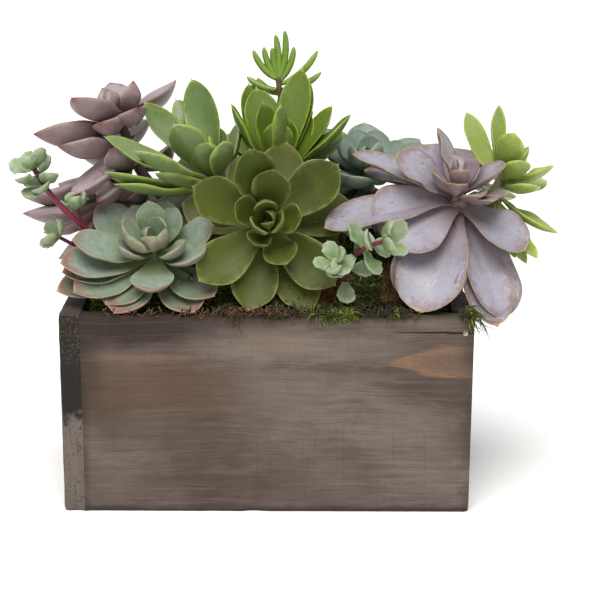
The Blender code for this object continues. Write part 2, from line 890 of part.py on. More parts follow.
def stem_tube(name, path, radius, collection):
    """A round stem along a path, closed at both ends, as a mesh."""
    curve = bpy.data.curves.new(name, "CURVE")
    curve.dimensions = "3D"
    curve.bevel_depth = radius
    curve.bevel_resolution = STEM_ROUNDNESS
    curve.use_fill_caps = True
    spline = curve.splines.new("POLY")
    spline.points.add(len(path) - 1)
    for point, place_on_path in zip(spline.points, path):
        point.co = (*place_on_path, 1)
    holder = bpy.data.objects.new(name, curve)
    collection.objects.link(holder)
    bpy.context.view_layer.update()
    graph = bpy.context.evaluated_depsgraph_get()
    mesh = bpy.data.meshes.new_from_object(holder.evaluated_get(graph))
    bpy.data.objects.remove(holder, do_unlink=True)
    bm = bmesh.new()
    bm.from_mesh(mesh)
    bmesh.ops.remove_doubles(bm, verts=bm.verts, dist=0.00001)
    bmesh.ops.recalc_face_normals(bm, faces=bm.faces)
    bm.to_mesh(mesh)
    bm.free()
    return mesh_object(name, mesh, collection)


def core_cone(name, base, up, heart, radius, collection):
    """The short solid heart that a rosette's leaves root in."""
    below = HEART_BELOW_BASE * radius
    height = below + heart + HEART_ABOVE_LEAVES * radius
    bm = bmesh.new()
    bmesh.ops.create_cone(
        bm,
        cap_ends=True,
        segments=HEART_SIDES,
        radius1=radius * HEART_FOOT,
        radius2=radius * HEART_TOP,
        depth=height,
    )
    bmesh.ops.translate(bm, vec=(0, 0, height / 2 - below), verts=bm.verts)
    made = object_from_bmesh(name, bm, collection)
    place(made, base, up)
    return made


def lean_direction(tilt, heading):
    tilt = math.radians(tilt)
    heading = math.radians(heading)
    return Vector(
        (
            math.sin(tilt) * math.cos(heading),
            math.sin(tilt) * math.sin(heading),
            math.cos(tilt),
        )
    )


def rosette_leaves(plant, rows):
    """One specification for each leaf of a rosette."""
    base = Vector(plant["base"]) * MM
    up = lean_direction(plant["tilt"], plant["heading"])
    count = 0
    for openness, length, width, clocks, *roll in plant.get(rows, ()):
        root = base + up * plant["heart"] * MM * (1 - openness / 90)
        for clock in clocks:
            count += 1
            yield dict(
                kind=plant["kind"],
                rows=rows,
                root=root,
                sunk=plant["stem"] * MM * ROOT_SHARE,
                up=up,
                clock=clock,
                openness=openness,
                length=length,
                width=width,
                roll=(roll[0] if roll else 0) + GROWN_ROLL * math.sin(GROWN_STEP * count),
            )


def point_along(path, share):
    """Place and direction at a share of a path's length."""
    points = [Vector(point) * MM for point in path]
    runs = [(b - a).length for a, b in zip(points, points[1:])]
    left = share * sum(runs)
    for start, end, run in zip(points, points[1:], runs):
        if left <= run + 1e-9:
            return start.lerp(end, left / run), (end - start).normalized()
        left -= run
    return points[-1], (points[-1] - points[-2]).normalized()


def stem_leaves(plant):
    """One specification for each leaf of a leafy stem."""
    for stem in plant["stems"]:
        for share, clock, openness, length, width, *roll in stem["leaves"]:
            root, up = point_along(stem["path"], share)
            yield dict(
                kind=plant["kind"],
                rows="whorls",
                root=root,
                sunk=stem["radius"] * MM * ROOT_SHARE,
                up=up,
                clock=clock,
                openness=openness,
                length=length,
                width=width,
                roll=roll[0] if roll else 0,
            )


def rosette_supports(name, plant, collection):
    """A rosette's stem, from under its heart down into the soil, and its heart."""
    base = Vector(plant["base"]) * MM
    up = lean_direction(plant["tilt"], plant["heading"])
    radius = plant["stem"] * MM
    foot_x, foot_y = (value * MM for value in plant["foot"])
    ground = mound_height(foot_x, foot_y)
    under = base - up * STEM_UNDER_BASE * radius
    foot = Vector((foot_x, foot_y, ground - STEM_DEPTH))
    bend_height = min(ground + MOSS_THICKNESS + 2 * MOSS_ROUGHNESS, under.z - radius)
    bend = Vector((foot_x, foot_y, bend_height))
    stem = stem_tube(name, (foot, bend, under, base), radius, collection)
    heart = core_cone(name + "_heart", base, up, plant["heart"] * MM, radius, collection)
    return stem, [heart], [(foot, plant.get("hole", plant["stem"]) * MM)]


def stem_supports(name, plant, collection):
    """The stems of a leafy plant. A stem that starts below the moss gets a hole."""
    tubes = []
    feet = []
    for index, stem in enumerate(plant["stems"]):
        path = [Vector(point) * MM for point in stem["path"]]
        radius = stem["radius"] * MM
        path.append(path[-1] + (path[-1] - path[-2]).normalized() * radius)
        tubes.append(stem_tube(f"{name}_{index}", path, radius, collection))
        if path[0].z < SOIL_EDGE:
            feet.append((path[0], radius))
    tubes[0].name = name
    return tubes[0], tubes[1:], feet


def hole_cutter(name, foot, radius, collection):
    """A plain hole a little wider than the stem, down to its foot."""
    wide = (radius + 1.5 * GAP) / math.cos(math.pi / HOLE_SIDES)
    bottom = foot.z - 2 * GAP
    top = SOIL_EDGE + MOUND + MOSS_THICKNESS + 6 * MOSS_ROUGHNESS
    bm = bmesh.new()
    bmesh.ops.create_cone(
        bm,
        cap_ends=True,
        segments=HOLE_SIDES,
        radius1=wide,
        radius2=wide,
        depth=top - bottom,
    )
    bmesh.ops.translate(bm, vec=(foot.x, foot.y, (top + bottom) / 2), verts=bm.verts)
    cutter = object_from_bmesh(name, bm, collection)
    mark_cutter(cutter)
    return cutter


def start_plant(name, parts):
    """A plant's stem and heart, the list of its pieces, and where its stems enter the soil."""
    if name in ROSETTES:
        stem, others, feet = rosette_supports(name, ROSETTES[name], parts)
    else:
        stem, others, feet = stem_supports(name, LEAFY_STEMS[name], parts)
    trees = [mesh_tree(target) for target in [stem, *others]]
    return dict(name=name, stem=stem, pieces=others, trees=trees, feet=feet)


def grow_leaves(plant, specs, taken, parts):
    """Adds each leaf that finds room among the other plants."""
    left_out = 0
    for spec in specs:
        found = settle(spec, taken)
        if found is None:
            left_out += 1
            continue
        points, faces = found
        leaf = loose_mesh(f"{plant['name']}_leaf_{len(plant['pieces'])}", points, faces, parts)
        plant["pieces"].append(leaf)
        plant["trees"].append(BVHTree.FromPolygons(points, faces))
    if left_out:
        print(plant["name"], "had no room for", left_out, "leaves")


def join_plant(plant):
    """Joins stem, heart and leaves in one solid."""
    stem = plant["stem"]
    boolean(stem, plant["pieces"], "UNION")
    flatten = stem.modifiers.new("flatten", "DECIMATE")
    flatten.decimate_type = "DISSOLVE"
    flatten.angle_limit = math.radians(FLAT_ENOUGH)
    apply_modifiers(stem)
    stem.name = plant["name"]
    stem.data.name = plant["name"]
    stem.data.materials.clear()
    stem.data.materials.append(finish(plant["name"]))


def build_plants(walls, parts):
    """All plants: first the stems, then the leaves in view, then the leaves behind."""
    plants = {name: start_plant(name, parts) for name in PLANTING_ORDER}
    for rows in ("whorls", "behind"):
        for name, plant in plants.items():
            others = [tree for other in plants.values() if other is not plant for tree in other["trees"]]
            if name in ROSETTES:
                specs = rosette_leaves(ROSETTES[name], rows)
            elif rows == "whorls":
                specs = stem_leaves(LEAFY_STEMS[name])
            else:
                continue
            grow_leaves(plant, specs, walls + others, parts)
    for plant in plants.values():
        join_plant(plant)
    return [foot for plant in plants.values() for foot in plant["feet"]]


def build():
    clear_scene()
    parts = new_collection("succulent_dish_garden")
    cutters = new_collection("cutters")
    walls = build_box(parts, cutters)
    build_liner(parts, cutters)
    soil, moss = build_filling(parts)
    holes = build_plants([mesh_tree(target) for target in [*walls, moss]], parts)
    for filling in (soil, moss):
        group = [
            hole_cutter(f"{filling.name}_hole_{index}", foot, radius, cutters)
            for index, (foot, radius) in enumerate(holes)
        ]
        boolean(filling, group, "DIFFERENCE")
    for made in parts.objects:
        made.data.shade_smooth()
        made.data.set_sharp_from_angle(angle=math.radians(35))


build()
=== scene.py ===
# Succulent dish garden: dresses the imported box, moss and plants for a studio picture.
# Metres, +Z up, the box's front towards -Y. Tables of places and sizes are in millimetres.

import math

import bmesh
import bpy
import numpy as np
from mathutils import Matrix, Quaternion, Vector, noise


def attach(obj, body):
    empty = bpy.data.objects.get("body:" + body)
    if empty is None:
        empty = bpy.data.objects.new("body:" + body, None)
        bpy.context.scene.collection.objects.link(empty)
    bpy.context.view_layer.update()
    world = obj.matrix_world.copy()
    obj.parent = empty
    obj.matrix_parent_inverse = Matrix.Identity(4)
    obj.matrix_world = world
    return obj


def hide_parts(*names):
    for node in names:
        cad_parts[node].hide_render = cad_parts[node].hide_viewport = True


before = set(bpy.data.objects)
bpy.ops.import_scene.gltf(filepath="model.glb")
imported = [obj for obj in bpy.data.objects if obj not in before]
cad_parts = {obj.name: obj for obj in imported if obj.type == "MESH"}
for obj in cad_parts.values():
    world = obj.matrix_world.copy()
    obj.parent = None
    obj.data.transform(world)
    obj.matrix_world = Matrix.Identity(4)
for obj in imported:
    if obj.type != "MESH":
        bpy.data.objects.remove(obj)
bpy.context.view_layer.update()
mm = 0.001
random = np.random.default_rng(7)


def select(objects):
    bpy.ops.object.select_all(action="DESELECT")
    for picked in objects:
        picked.select_set(True)
    bpy.context.view_layer.objects.active = objects[0]


def joinAll(objects, name):
    select(objects)
    if len(objects) > 1:
        bpy.ops.object.join()
    joined = bpy.context.object
    joined.name = name
    joined.data.name = name
    return joined


def linkObject(name, data):
    made = bpy.data.objects.new(name, data)
    bpy.context.collection.objects.link(made)
    return made


def coat(piece, material):
    piece.data.materials.clear()
    piece.data.materials.append(material)


def meshPoints(mesh):
    points = np.empty(len(mesh.vertices) * 3)
    mesh.vertices.foreach_get("co", points)
    return points.reshape(-1, 3)


def movePoints(mesh, points):
    mesh.vertices.foreach_set("co", points.astype(np.float32).ravel())


def storeValues(mesh, name, values):
    layer = mesh.attributes.new(name, "FLOAT", "POINT")
    layer.data.foreach_set("value", np.asarray(values, np.float32))


# Node helpers. A socket knows its own tree, so most of them need only sockets and numbers.
def newMaterial(name):
    material = bpy.data.materials.new(name)
    material.use_nodes = True
    return material, material.node_tree


def plug(value, socket):
    if isinstance(value, bpy.types.NodeSocket):
        socket.id_data.links.new(value, socket)
    elif socket.type == "RGBA" and len(value) == 3:
        socket.default_value = (*value, 1)
    else:
        socket.default_value = value


def treeOf(values):
    return next(value.id_data for value in values if isinstance(value, bpy.types.NodeSocket))


def addNode(tree, kind, inputs=(), **settings):
    made = tree.nodes.new(kind)
    for key, value in settings.items():
        setattr(made, key, value)
    for key, value in dict(inputs).items():
        plug(value, made.inputs[key])
    return made


def readAttribute(tree, name):
    return addNode(tree, "ShaderNodeAttribute", attribute_name=name).outputs["Fac"]


def objectPlace(tree, shift=(0, 0, 0), turn=(0, 0, 0)):
    place = addNode(tree, "ShaderNodeTexCoord").outputs["Object"]
    inputs = {"Vector": place, "Location": shift, "Rotation": turn}
    return addNode(tree, "ShaderNodeMapping", inputs).outputs["Vector"]


def scaled(place, scale):
    inputs = {"Vector": place, "Scale": scale}
    return addNode(place.id_data, "ShaderNodeMapping", inputs).outputs["Vector"]


def noiseOf(place, scale, detail=3, rough=0.5, twist=0):
    inputs = {"Vector": place, "Scale": scale, "Detail": detail}
    inputs |= {"Roughness": rough, "Distortion": twist}
    return addNode(place.id_data, "ShaderNodeTexNoise", inputs).outputs["Fac"]


def cellsOf(place, scale):
    inputs = {"Vector": place, "Scale": scale}
    return addNode(place.id_data, "ShaderNodeTexVoronoi", inputs).outputs["Distance"]


def mathOf(operation, a, b=0.0):
    made = addNode(treeOf((a, b)), "ShaderNodeMath", {0: a, 1: b}, operation=operation)
    return made.outputs[0]


def folded(operation):
    def apply(first, *others):
        for other in others:
            first = mathOf(operation, first, other)
        return first

    return apply


plus, minus, times, over = map(folded, ("ADD", "SUBTRACT", "MULTIPLY", "DIVIDE"))


def swing(value, size):
    return times(minus(value, 0.5), size)


def distance(x, y):
    return mathOf("SQRT", plus(times(x, x), times(y, y)))


def stretch(value, low, high, toLow=0.0, toHigh=1.0):
    inputs = {"Value": value, "From Min": low, "From Max": high}
    inputs |= {"To Min": toLow, "To Max": toHigh}
    kind = "ShaderNodeMapRange"
    return addNode(value.id_data, kind, inputs, interpolation_type="SMOOTHSTEP").outputs[0]


def mixOf(amount, first, second, blend="MIX"):
    tree = treeOf((amount, first, second))
    inputs = {0: amount, 6: first, 7: second}
    return addNode(tree, "ShaderNodeMix", inputs, data_type="RGBA", blend_type=blend).outputs[2]


def bumpOf(height, distance, strength=1.0, normal=None):
    inputs = {"Height": height, "Distance": distance, "Strength": strength}
    if normal:
        inputs["Normal"] = normal
    return addNode(height.id_data, "ShaderNodeBump", inputs).outputs["Normal"]


# Masks and coats are tables. A ramp is a field, where it starts, where it ends, the value before
# and the value after (0 and 1 if left out). A string stands for a field or a value of the look.
def maskOf(known, ramps):
    parts = []
    for ramp in ramps:
        if isinstance(ramp, tuple):
            parts.append(stretch(*(known.get(value, value) for value in ramp)))
        else:
            parts.append(known.get(ramp, ramp))
    return times(*parts)


# A coat is a colour of the look, then the ramps whose product says where that colour lies.
def paint(colour, look, fields, coats):
    for tone, *ramps in coats:
        colour = mixOf(maskOf(look | fields, ramps), colour, look[tone])
    return colour


def finishShader(tree, settings):
    for key, value in settings.items():
        plug(value, tree.nodes["Principled BSDF"].inputs[key])


# The simple materials: noises in the object's place (scale, detail, roughness), coats over a
# base colour, values of the shader and one bump (field, distance, strength).
def plainMaterial(name, look):
    material, tree = newMaterial(name)
    place = objectPlace(tree)
    fields = {key: noiseOf(place, *row) for key, row in look["noises"].items()}
    fields |= {key: cellsOf(place, scale) for key, scale in look.get("cells", {}).items()}
    fields |= {key: readAttribute(tree, key) for key in look.get("attributes", ())}
    settings = {key: maskOf(fields, [value]) for key, value in look["shader"].items()}
    settings["Base Color"] = paint(look[look["base"]], look, fields, look["coats"])
    bump, *rest = look["bump"]
    settings["Normal"] = bumpOf(fields[bump], *rest)
    finishShader(tree, settings)
    return material


cameraSettings = {
    "lens": 96, "sensor": 36, "clip": 0.05, "place": (0.0138, -1.0007, 0.3889),
    "down": 15.0, "turn": 0.39, "roll": 0.34,
}


def addCamera(settings):
    down, turn, roll = (math.radians(settings[key]) for key in ("down", "turn", "roll"))
    level = Vector((math.cos(turn), -math.sin(turn), 0))
    forward = Vector((math.sin(turn), math.cos(turn), 0))
    ahead = forward * math.cos(down) - Vector((0, 0, math.sin(down)))
    upright = level.cross(ahead)
    right = math.cos(roll) * level + math.sin(roll) * upright
    above = math.cos(roll) * upright - math.sin(roll) * level
    turned = Matrix((right, above, -ahead)).transposed().to_euler()
    bpy.ops.object.camera_add(location=settings["place"], rotation=turned)
    camera = bpy.context.object
    camera.data.lens = settings["lens"]
    camera.data.sensor_width = settings["sensor"]
    camera.data.clip_start = settings["clip"]
    bpy.context.scene.camera = camera


stageSettings = {
    "floorSize": 40,
    "floor": {"Base Color": (0.93, 0.93, 0.93), "Roughness": 0.9, "Specular IOR Level": 0.1},
    "sky": (1.0, 1.0, 1.0),
    "skyStrength": 0.5,
    "backdropStrength": 1.0,
    # the window's light: the direction that it shines in, strength, disc in degrees, colour
    "way": (0.09, 0.54, -1.15),
    "sun": 3.35,
    "disc": 46,
    "sunColour": (1, 0.985, 0.96),
}


def addStage(settings):
    bpy.ops.mesh.primitive_plane_add(size=settings["floorSize"], location=(0, 0, 0))
    floor = bpy.context.object
    floor.name = "paleFloor"
    material, tree = newMaterial("paleFloor")
    finishShader(tree, settings["floor"])
    floor.data.materials.append(material)
    world = bpy.data.worlds.new("studio")
    world.use_nodes = True
    sky = world.node_tree.nodes["Background"]
    plug(settings["sky"], sky.inputs["Color"])
    seen = addNode(world.node_tree, "ShaderNodeLightPath").outputs["Is Camera Ray"]
    strength = stretch(seen, 0, 1, settings["skyStrength"], settings["backdropStrength"])
    plug(strength, sky.inputs["Strength"])
    bpy.context.scene.world = world
    bpy.context.scene.view_settings.view_transform = "Standard"
    bpy.ops.object.light_add(type="SUN")
    light = bpy.context.object
    light.name = "windowLeft"
    light.data.energy = settings["sun"]
    light.data.angle = math.radians(settings["disc"])
    light.data.color = settings["sunColour"]
    light.rotation_euler = Vector(settings["way"]).to_track_quat("-Z", "Y").to_euler()


addCamera(cameraSettings)
addStage(stageSettings)
print("camera and stage set")


# thick is in millimetres, widest the station of the greatest width, root the width there against
# the greatest, cup how far the edges rise against the half width, crown the share of the thickness
# above the middle, curl the bend in degrees, shoulder and blunt the roundness of the end, nib the
# share of the length in the pointed tip, crease the depth of the middle furrow and wave how far
# the edges wander, both in millimetres, scallop the depth of the lobes, keel how ridged it is
leafForms = {
    "spoon": {"thick": 4.8, "widest": 0.66, "root": 0.30, "cup": 0.26, "crown": 0.10, "curl": 34,
              "shoulder": 2.3, "blunt": 0.79, "nib": 0.018, "crease": 0.5, "wave": 0.6},
    "wedge": {"thick": 3.8, "widest": 0.67, "root": 0.28, "cup": 0.24, "crown": 0.10, "curl": 28,
              "shoulder": 2.35, "blunt": 0.86, "nib": 0.02, "crease": 1.0, "wave": 1.1},
    "strap": {"thick": 3.2, "widest": 0.64, "root": 0.26, "cup": 0.22, "crown": 0.10, "curl": 20,
              "shoulder": 2.3, "blunt": 0.78, "nib": 0.03, "crease": 0.6, "wave": 0.7},
    "paddle": {"thick": 3.4, "widest": 0.66, "root": 0.34, "cup": 0.17, "crown": 0.05, "curl": -20,
               "shoulder": 2.3, "blunt": 0.56, "nib": 0.016, "crease": 1.9, "wave": 1.1},
    "fleshy": {"thick": 11.0, "widest": 0.56, "root": 0.42, "cup": 0.10, "crown": 0.18, "curl": 16,
               "shoulder": 2.0, "blunt": 0.95, "nib": 0.05, "crease": 0.0, "wave": 0.5,
               "keel": 0.42},
    "small": {"thick": 3.8, "widest": 0.62, "root": 0.36, "cup": 0.20, "crown": 0.22, "curl": 22,
              "shoulder": 2.6, "blunt": 0.62, "nib": 0.05, "crease": 0.4, "wave": 0.8,
              "scallop": 0.075},
    "finger": {"thick": 4.6, "widest": 0.45, "root": 0.70, "cup": 0.0, "crown": 0.50, "curl": 48,
               "shoulder": 3.6, "blunt": 0.50, "nib": 0.0, "crease": 0.0, "wave": 0.1},
}

# what all blades share: how much thinner the ends are than the middle, how soon the edge thins,
# how wide the crease is in millimetres, how far a blade bows aside, how near the rim the tip
# counts, how the width grows, and where the scallops start, fade in, repeat and peak
bladeRules = {
    "swell": 0.28, "thin": 2.2, "creaseWidth": 3.2, "bow": 0.05, "tipRim": 0.6, "grown": 1.4,
    "lobesFrom": 0.35, "lobesFade": 0.2, "lobe": 0.24, "lobePeak": 0.52,
}
# rings and segments of the ball that a blade starts from
bladeBalls = {"broad": (26, 20), "finger": (14, 10)}


def modelBlade(rings, segments):
    bpy.ops.mesh.primitive_uv_sphere_add(segments=segments, ring_count=rings, radius=1)
    blade = bpy.context.object
    blade.name = "blade"
    bpy.ops.object.shade_smooth()
    return blade


def bladeOutline(along, form):
    grown = np.sin(np.pi / 2 * np.minimum(along / form["widest"], 1)) ** bladeRules["grown"]
    rising = form["root"] + (1 - form["root"]) * grown
    left = np.maximum(along - form["widest"], 0) / (1 - form["widest"])
    closing = np.maximum(1 - left ** form["shoulder"], 0) ** form["blunt"]
    return np.where(along <= form["widest"], rising, closing)


def shapeBlade(ball, form, length, width, dice, rules=bladeRules):
    along = np.clip((ball[:, 2] + 1) / 2, 0, 1)
    ring = np.sqrt(np.maximum(1 - ball[:, 2] ** 2, 1e-9))
    across = ball[:, 0] / ring
    up = ball[:, 1] / ring
    curl = math.radians(form["curl"])
    radius = length / (2 * math.sin(curl / 2))
    station = np.where(along < 0.9999, along * (1 - form["nib"]), 1)
    lean = curl * (station - 0.5)
    half = width / 2 * bladeOutline(along, form)
    scallop = np.clip((along - rules["lobesFrom"]) / rules["lobesFade"], 0, 1)
    lobes = np.cos(2 * np.pi * (along - rules["lobePeak"]) / rules["lobe"])
    half *= 1 - form.get("scallop", 0) * scallop * lobes
    swell = 1 - rules["swell"] + rules["swell"] * np.sin(np.pi * along)
    thick = form["thick"] * mm * swell * np.minimum(1, rules["thin"] * half / width)
    share = np.where(up > 0, form["crown"], 1 - form["crown"])
    keel = 1 - form.get("keel", 0) * np.abs(across)
    rise = form["cup"] * half * across**2 + thick * share * up * keel
    middle = np.sin(np.pi * np.clip(along * 1.1, 0, 1))
    fromCrease = np.abs(across) * half / (rules["creaseWidth"] * mm)
    rise -= form["crease"] * mm * middle * np.exp(-fromCrease)
    ripple = np.sin(2 * np.pi * (dice[0] + along * (1.5 + dice[1])))
    ripple += np.sin(9 * along + 9 * dice[2])
    ripple *= np.where(across > 0, 1, dice[3] - 0.5)
    rise += form["wave"] * mm * across**2 * ripple * middle
    bow = (dice[2] - 0.5) * rules["bow"] * length * along**2 * (1 - along)
    x = length / 2 + radius * np.sin(lean) - np.sin(lean) * rise
    y = half * across + bow
    z = radius * (math.cos(curl / 2) - np.cos(lean)) + np.cos(lean) * rise
    rim = np.minimum((1 - np.abs(across)) * half, (1 - along) * length * rules["tipRim"])
    marks = {
        "along": along,
        "rim": rim / mm,
        "under": np.clip(0.5 - up * 2.5, 0, 1),
        "sideways": y,
        "lengthways": x,
    }
    return np.stack([x, y, z], 1), marks


def leafAxes(up, clock, openness, roll):
    turn = Vector((0, 0, 1)).rotation_difference(Vector(up))
    along = leanDirection(openness, clock)
    clock = math.radians(clock)
    side = Quaternion(along, math.radians(roll)) @ Vector((-math.sin(clock), math.cos(clock), 0))
    return turn @ along, turn @ side, turn @ along.cross(side)


def addLeaf(blade, form, root, up, sunk, row):
    clock, openness, length, width, roll = row
    along, side, above = leafAxes(up, clock, openness, roll)
    mesh = blade.data.copy()
    dice = random.random(6)
    points, marks = shapeBlade(meshPoints(blade.data), form, length * mm - sunk, width * mm, dice)
    movePoints(mesh, points @ np.array([along, side, above]) + np.array(root + along * sunk))
    marks["tone"] = np.full(len(points), dice[4])
    marks["age"] = np.full(len(points), min(openness / 90, 1.3))
    for name, values in marks.items():
        storeValues(mesh, name, values)
    return linkObject("leaf", mesh)


def smoothPath(path, cuts=5):
    points = [Vector(point) for point in path]
    ends = [2 * points[0] - points[1], *points, 2 * points[-1] - points[-2]]
    found = []
    for index in range(1, len(ends) - 2):
        before, start, end, after = ends[index - 1 : index + 3]
        for cut in range(cuts):
            t = cut / cuts
            found.append(
                0.5 * (2 * start + (end - before) * t
                       + (2 * before - 5 * start + 4 * end - after) * t**2
                       + (3 * start - before - 3 * end + after) * t**3)
            )
    return [*found, points[-1]]


def addStem(name, path, radius, tip=1.0, sides=5):
    curve = bpy.data.curves.new(name, "CURVE")
    curve.dimensions = "3D"
    curve.bevel_depth = radius
    curve.bevel_resolution = sides
    curve.use_fill_caps = True
    spline = curve.splines.new("POLY")
    spline.points.add(len(path) - 1)
    for index, (point, at) in enumerate(zip(spline.points, path)):
        point.co = (*at, 1)
        point.radius = 1 + (tip - 1) * index / (len(path) - 1)
    select([linkObject(name, curve)])
    bpy.ops.object.convert(target="MESH")
    bpy.ops.object.mode_set(mode="EDIT")
    bpy.ops.mesh.select_all(action="SELECT")
    bpy.ops.mesh.remove_doubles(threshold=0.00001)
    bpy.ops.mesh.normals_make_consistent(inside=False)
    bpy.ops.object.mode_set(mode="OBJECT")
    bpy.ops.object.shade_smooth()
    return bpy.context.object


def pathPlace(path, share):
    points = [Vector(point) * mm for point in path]
    runs = [(b - a).length for a, b in zip(points, points[1:])]
    left = share * sum(runs)
    for start, end, run in zip(points, points[1:], runs):
        if left <= run + 1e-9:
            return start.lerp(end, left / run), (end - start).normalized()
        left -= run
    return points[-1], (points[-1] - points[-2]).normalized()


def leanDirection(tilt, heading):
    tilt, heading = math.radians(tilt), math.radians(heading)
    flat = math.sin(tilt)
    return Vector((flat * math.cos(heading), flat * math.sin(heading), math.cos(tilt)))


moundSettings = {"edge": 115, "rise": 46, "halfX": 114, "halfY": 50.5, "crestY": 18}


def moundHeight(x, y, settings=moundSettings):
    across = min(1, abs(x) / (settings["halfX"] * mm))
    crest = settings["crestY"] * mm
    if y < crest:
        deep = min(1, (crest - y) / (settings["halfY"] * mm + crest)) ** 1.6
    else:
        deep = min(1, (y - crest) / (settings["halfY"] * mm - crest)) ** 3
    return (settings["edge"] + settings["rise"] * (1 - across**4) * (1 - deep)) * mm


# A stem stands "depth" millimetres in the soil and bends "bend" above it. Against its radius: how
# deep leaves root in it, how far below the rosette it turns, and where its heart starts and ends.
stemRules = {"depth": 24, "bend": 12.4, "leafRoot": 0.8, "turn": 1.6, "core": 0.8, "top": 1.1}
# how wide a heart is and how narrow the tips of hearts and stems are
stemTapers = {"heart": 1.4, "heartTip": 0.3, "stemTip": 0.75}


def growRosette(plant, form, blade, rules=stemRules):
    base = Vector(plant["base"]) * mm
    up = leanDirection(plant["tilt"], plant["heading"])
    radius = plant["stem"] * mm
    leaves = []
    for rise, *row in plant["leaves"]:
        root = base + up * rise * mm
        leaves.append(addLeaf(blade, form, root, up, radius * rules["leafRoot"], row))
    x, y = (value * mm for value in plant["foot"])
    ground = moundHeight(x, y)
    under = base - up * rules["turn"] * radius
    foot = Vector((x, y, ground - rules["depth"] * mm))
    bend = Vector((x, y, min(ground + rules["bend"] * mm, under.z - radius)))
    path = smoothPath((foot, bend, under, base), 6)
    top = base + up * (plant["heart"] * mm + rules["top"] * radius)
    core = smoothPath((base - up * rules["core"] * radius, base, base.lerp(top, 0.5), top))
    wide = radius * plant.get("heartWide", stemTapers["heart"])
    return leaves, [
        addStem("stem", path, radius),
        addStem("heart", core, wide, stemTapers["heartTip"]),
    ]


def growStems(plant, form, blade):
    leaves = []
    stems = []
    for stem in plant["stems"]:
        radius = stem["radius"] * mm
        path = [Vector(point) * mm for point in stem["path"]]
        path.append(path[-1] + (path[-1] - path[-2]).normalized() * radius)
        stems.append(addStem("stem", smoothPath(path), radius, stemTapers["stemTip"]))
        for share, *row in stem["leaves"]:
            root, up = pathPlace(stem["path"], share)
            leaves.append(addLeaf(blade, form, root, up, radius * stemRules["leafRoot"], row))
    return leaves, stems


# In order over a leaf's root colour. Old leaves and the heart come first, then mottling, veins
# and the under side, the powdery bloom (rubbed off in places), which also paints a pale highlight,
# the blushed band inside the edge, the painted light of a lit rim, the thin edge itself (its own
# colour and partly a painted bright rim light), the nib, pale points and brown scars.
leafCoats = (
    ("body", ("along", 0.05, 0.55)),
    ("tip", ("along", 0.55, 1.0)),
    ("heart", ("age", "heartTo", 0.25)),
    ("old", ("age", 0.80, 1.05, 0, "oldShare")),
    ("other", "tone", "variety"),
    ("patch", ("patches", 0.42, 0.68, 0, "mottle")),
    ("vein", ("veins", 0.45, 0.75, 0, "veining")),
    ("under", "under", "underShare"),
    # powdery bloom that also paints a pale highlight: more towards the tip, on the upper side and
    # away from the edge, less on old leaves
    ("bloomColour", ("rubbed", 0.25, 0.62, "bloomLeft"), "bloom", ("along", 0.15, 0.75, 0.25),
     ("under", 0.2, 1, 1, 0.35), ("inside", 0.3, 3, 0.3), ("age", 0.75, 1, 1, "oldBloom")),
    ("blushColour", ("inside", "blushWidth", 0, 0, "blush"), ("patches", 0.3, 0.6),
     ("along", "blushFrom", "blushTo"), ("age", 0.55, 0.9, "youngBlush")),
    # painted light: a lit, glowing band just inside the edge
    ("glowColour", ("inside", "glowWidth", 0.3, 0, "glow"), ("along", 0.1, 0.4)),
    # the thin edge: its own colour, and partly a painted bright rim light
    ("edgeColour", ("inside", "edgeWidth", "edgeCore", 0, "edge"), ("along", 0.2, 0.5),
     ("faded", 0.38, 0.6, "edgeFaded"), ("age", 0.5, 0.85, "youngEdge")),
    ("nibColour", ("along", "nibFrom", 0.995, 0, "nib")),
    ("pointColour", ("cells", 0.16, 0.08, 0, "points")),
    ("scarColour", ("scarred", 0.63, 0.69, 0, "scars")),
)


# noises in the object's place (scale, detail, roughness, distortion) and in the leaf's own plane
# (how tight along it, across it and from leaf to leaf; detail; roughness)
leafNoises = {
    "grain": (900, 3, 0.6), "wander": (240, 2), "rubbed": (150, 4, 0.7, 0.4), "faded": (95, 2),
    "dimples": (420, 3, 0.6),
}
flatNoises = {"veins": ((60, 620, 40), 3, 0.6), "scarred": ((110, 260, 50), 4, 0.7)}
leafBumps = (("dimples", 0.00025, 0.6), ("veins", 0.00022, "ridges"), ("grain", 0.00005, 0.6))
leafSkin = {
    "toneShift": 3.0, "wander": ("wander", 0.3, 0.7, 0.35, 1.5), "core": 0.4,
    "grain": ("grain", 0.3, 0.7, 0.93, 1.05), "glossy": -0.07, "dull": 0.08,
    "radius": (0.7, 1.0, 0.35), "depth": 0.0035,
}


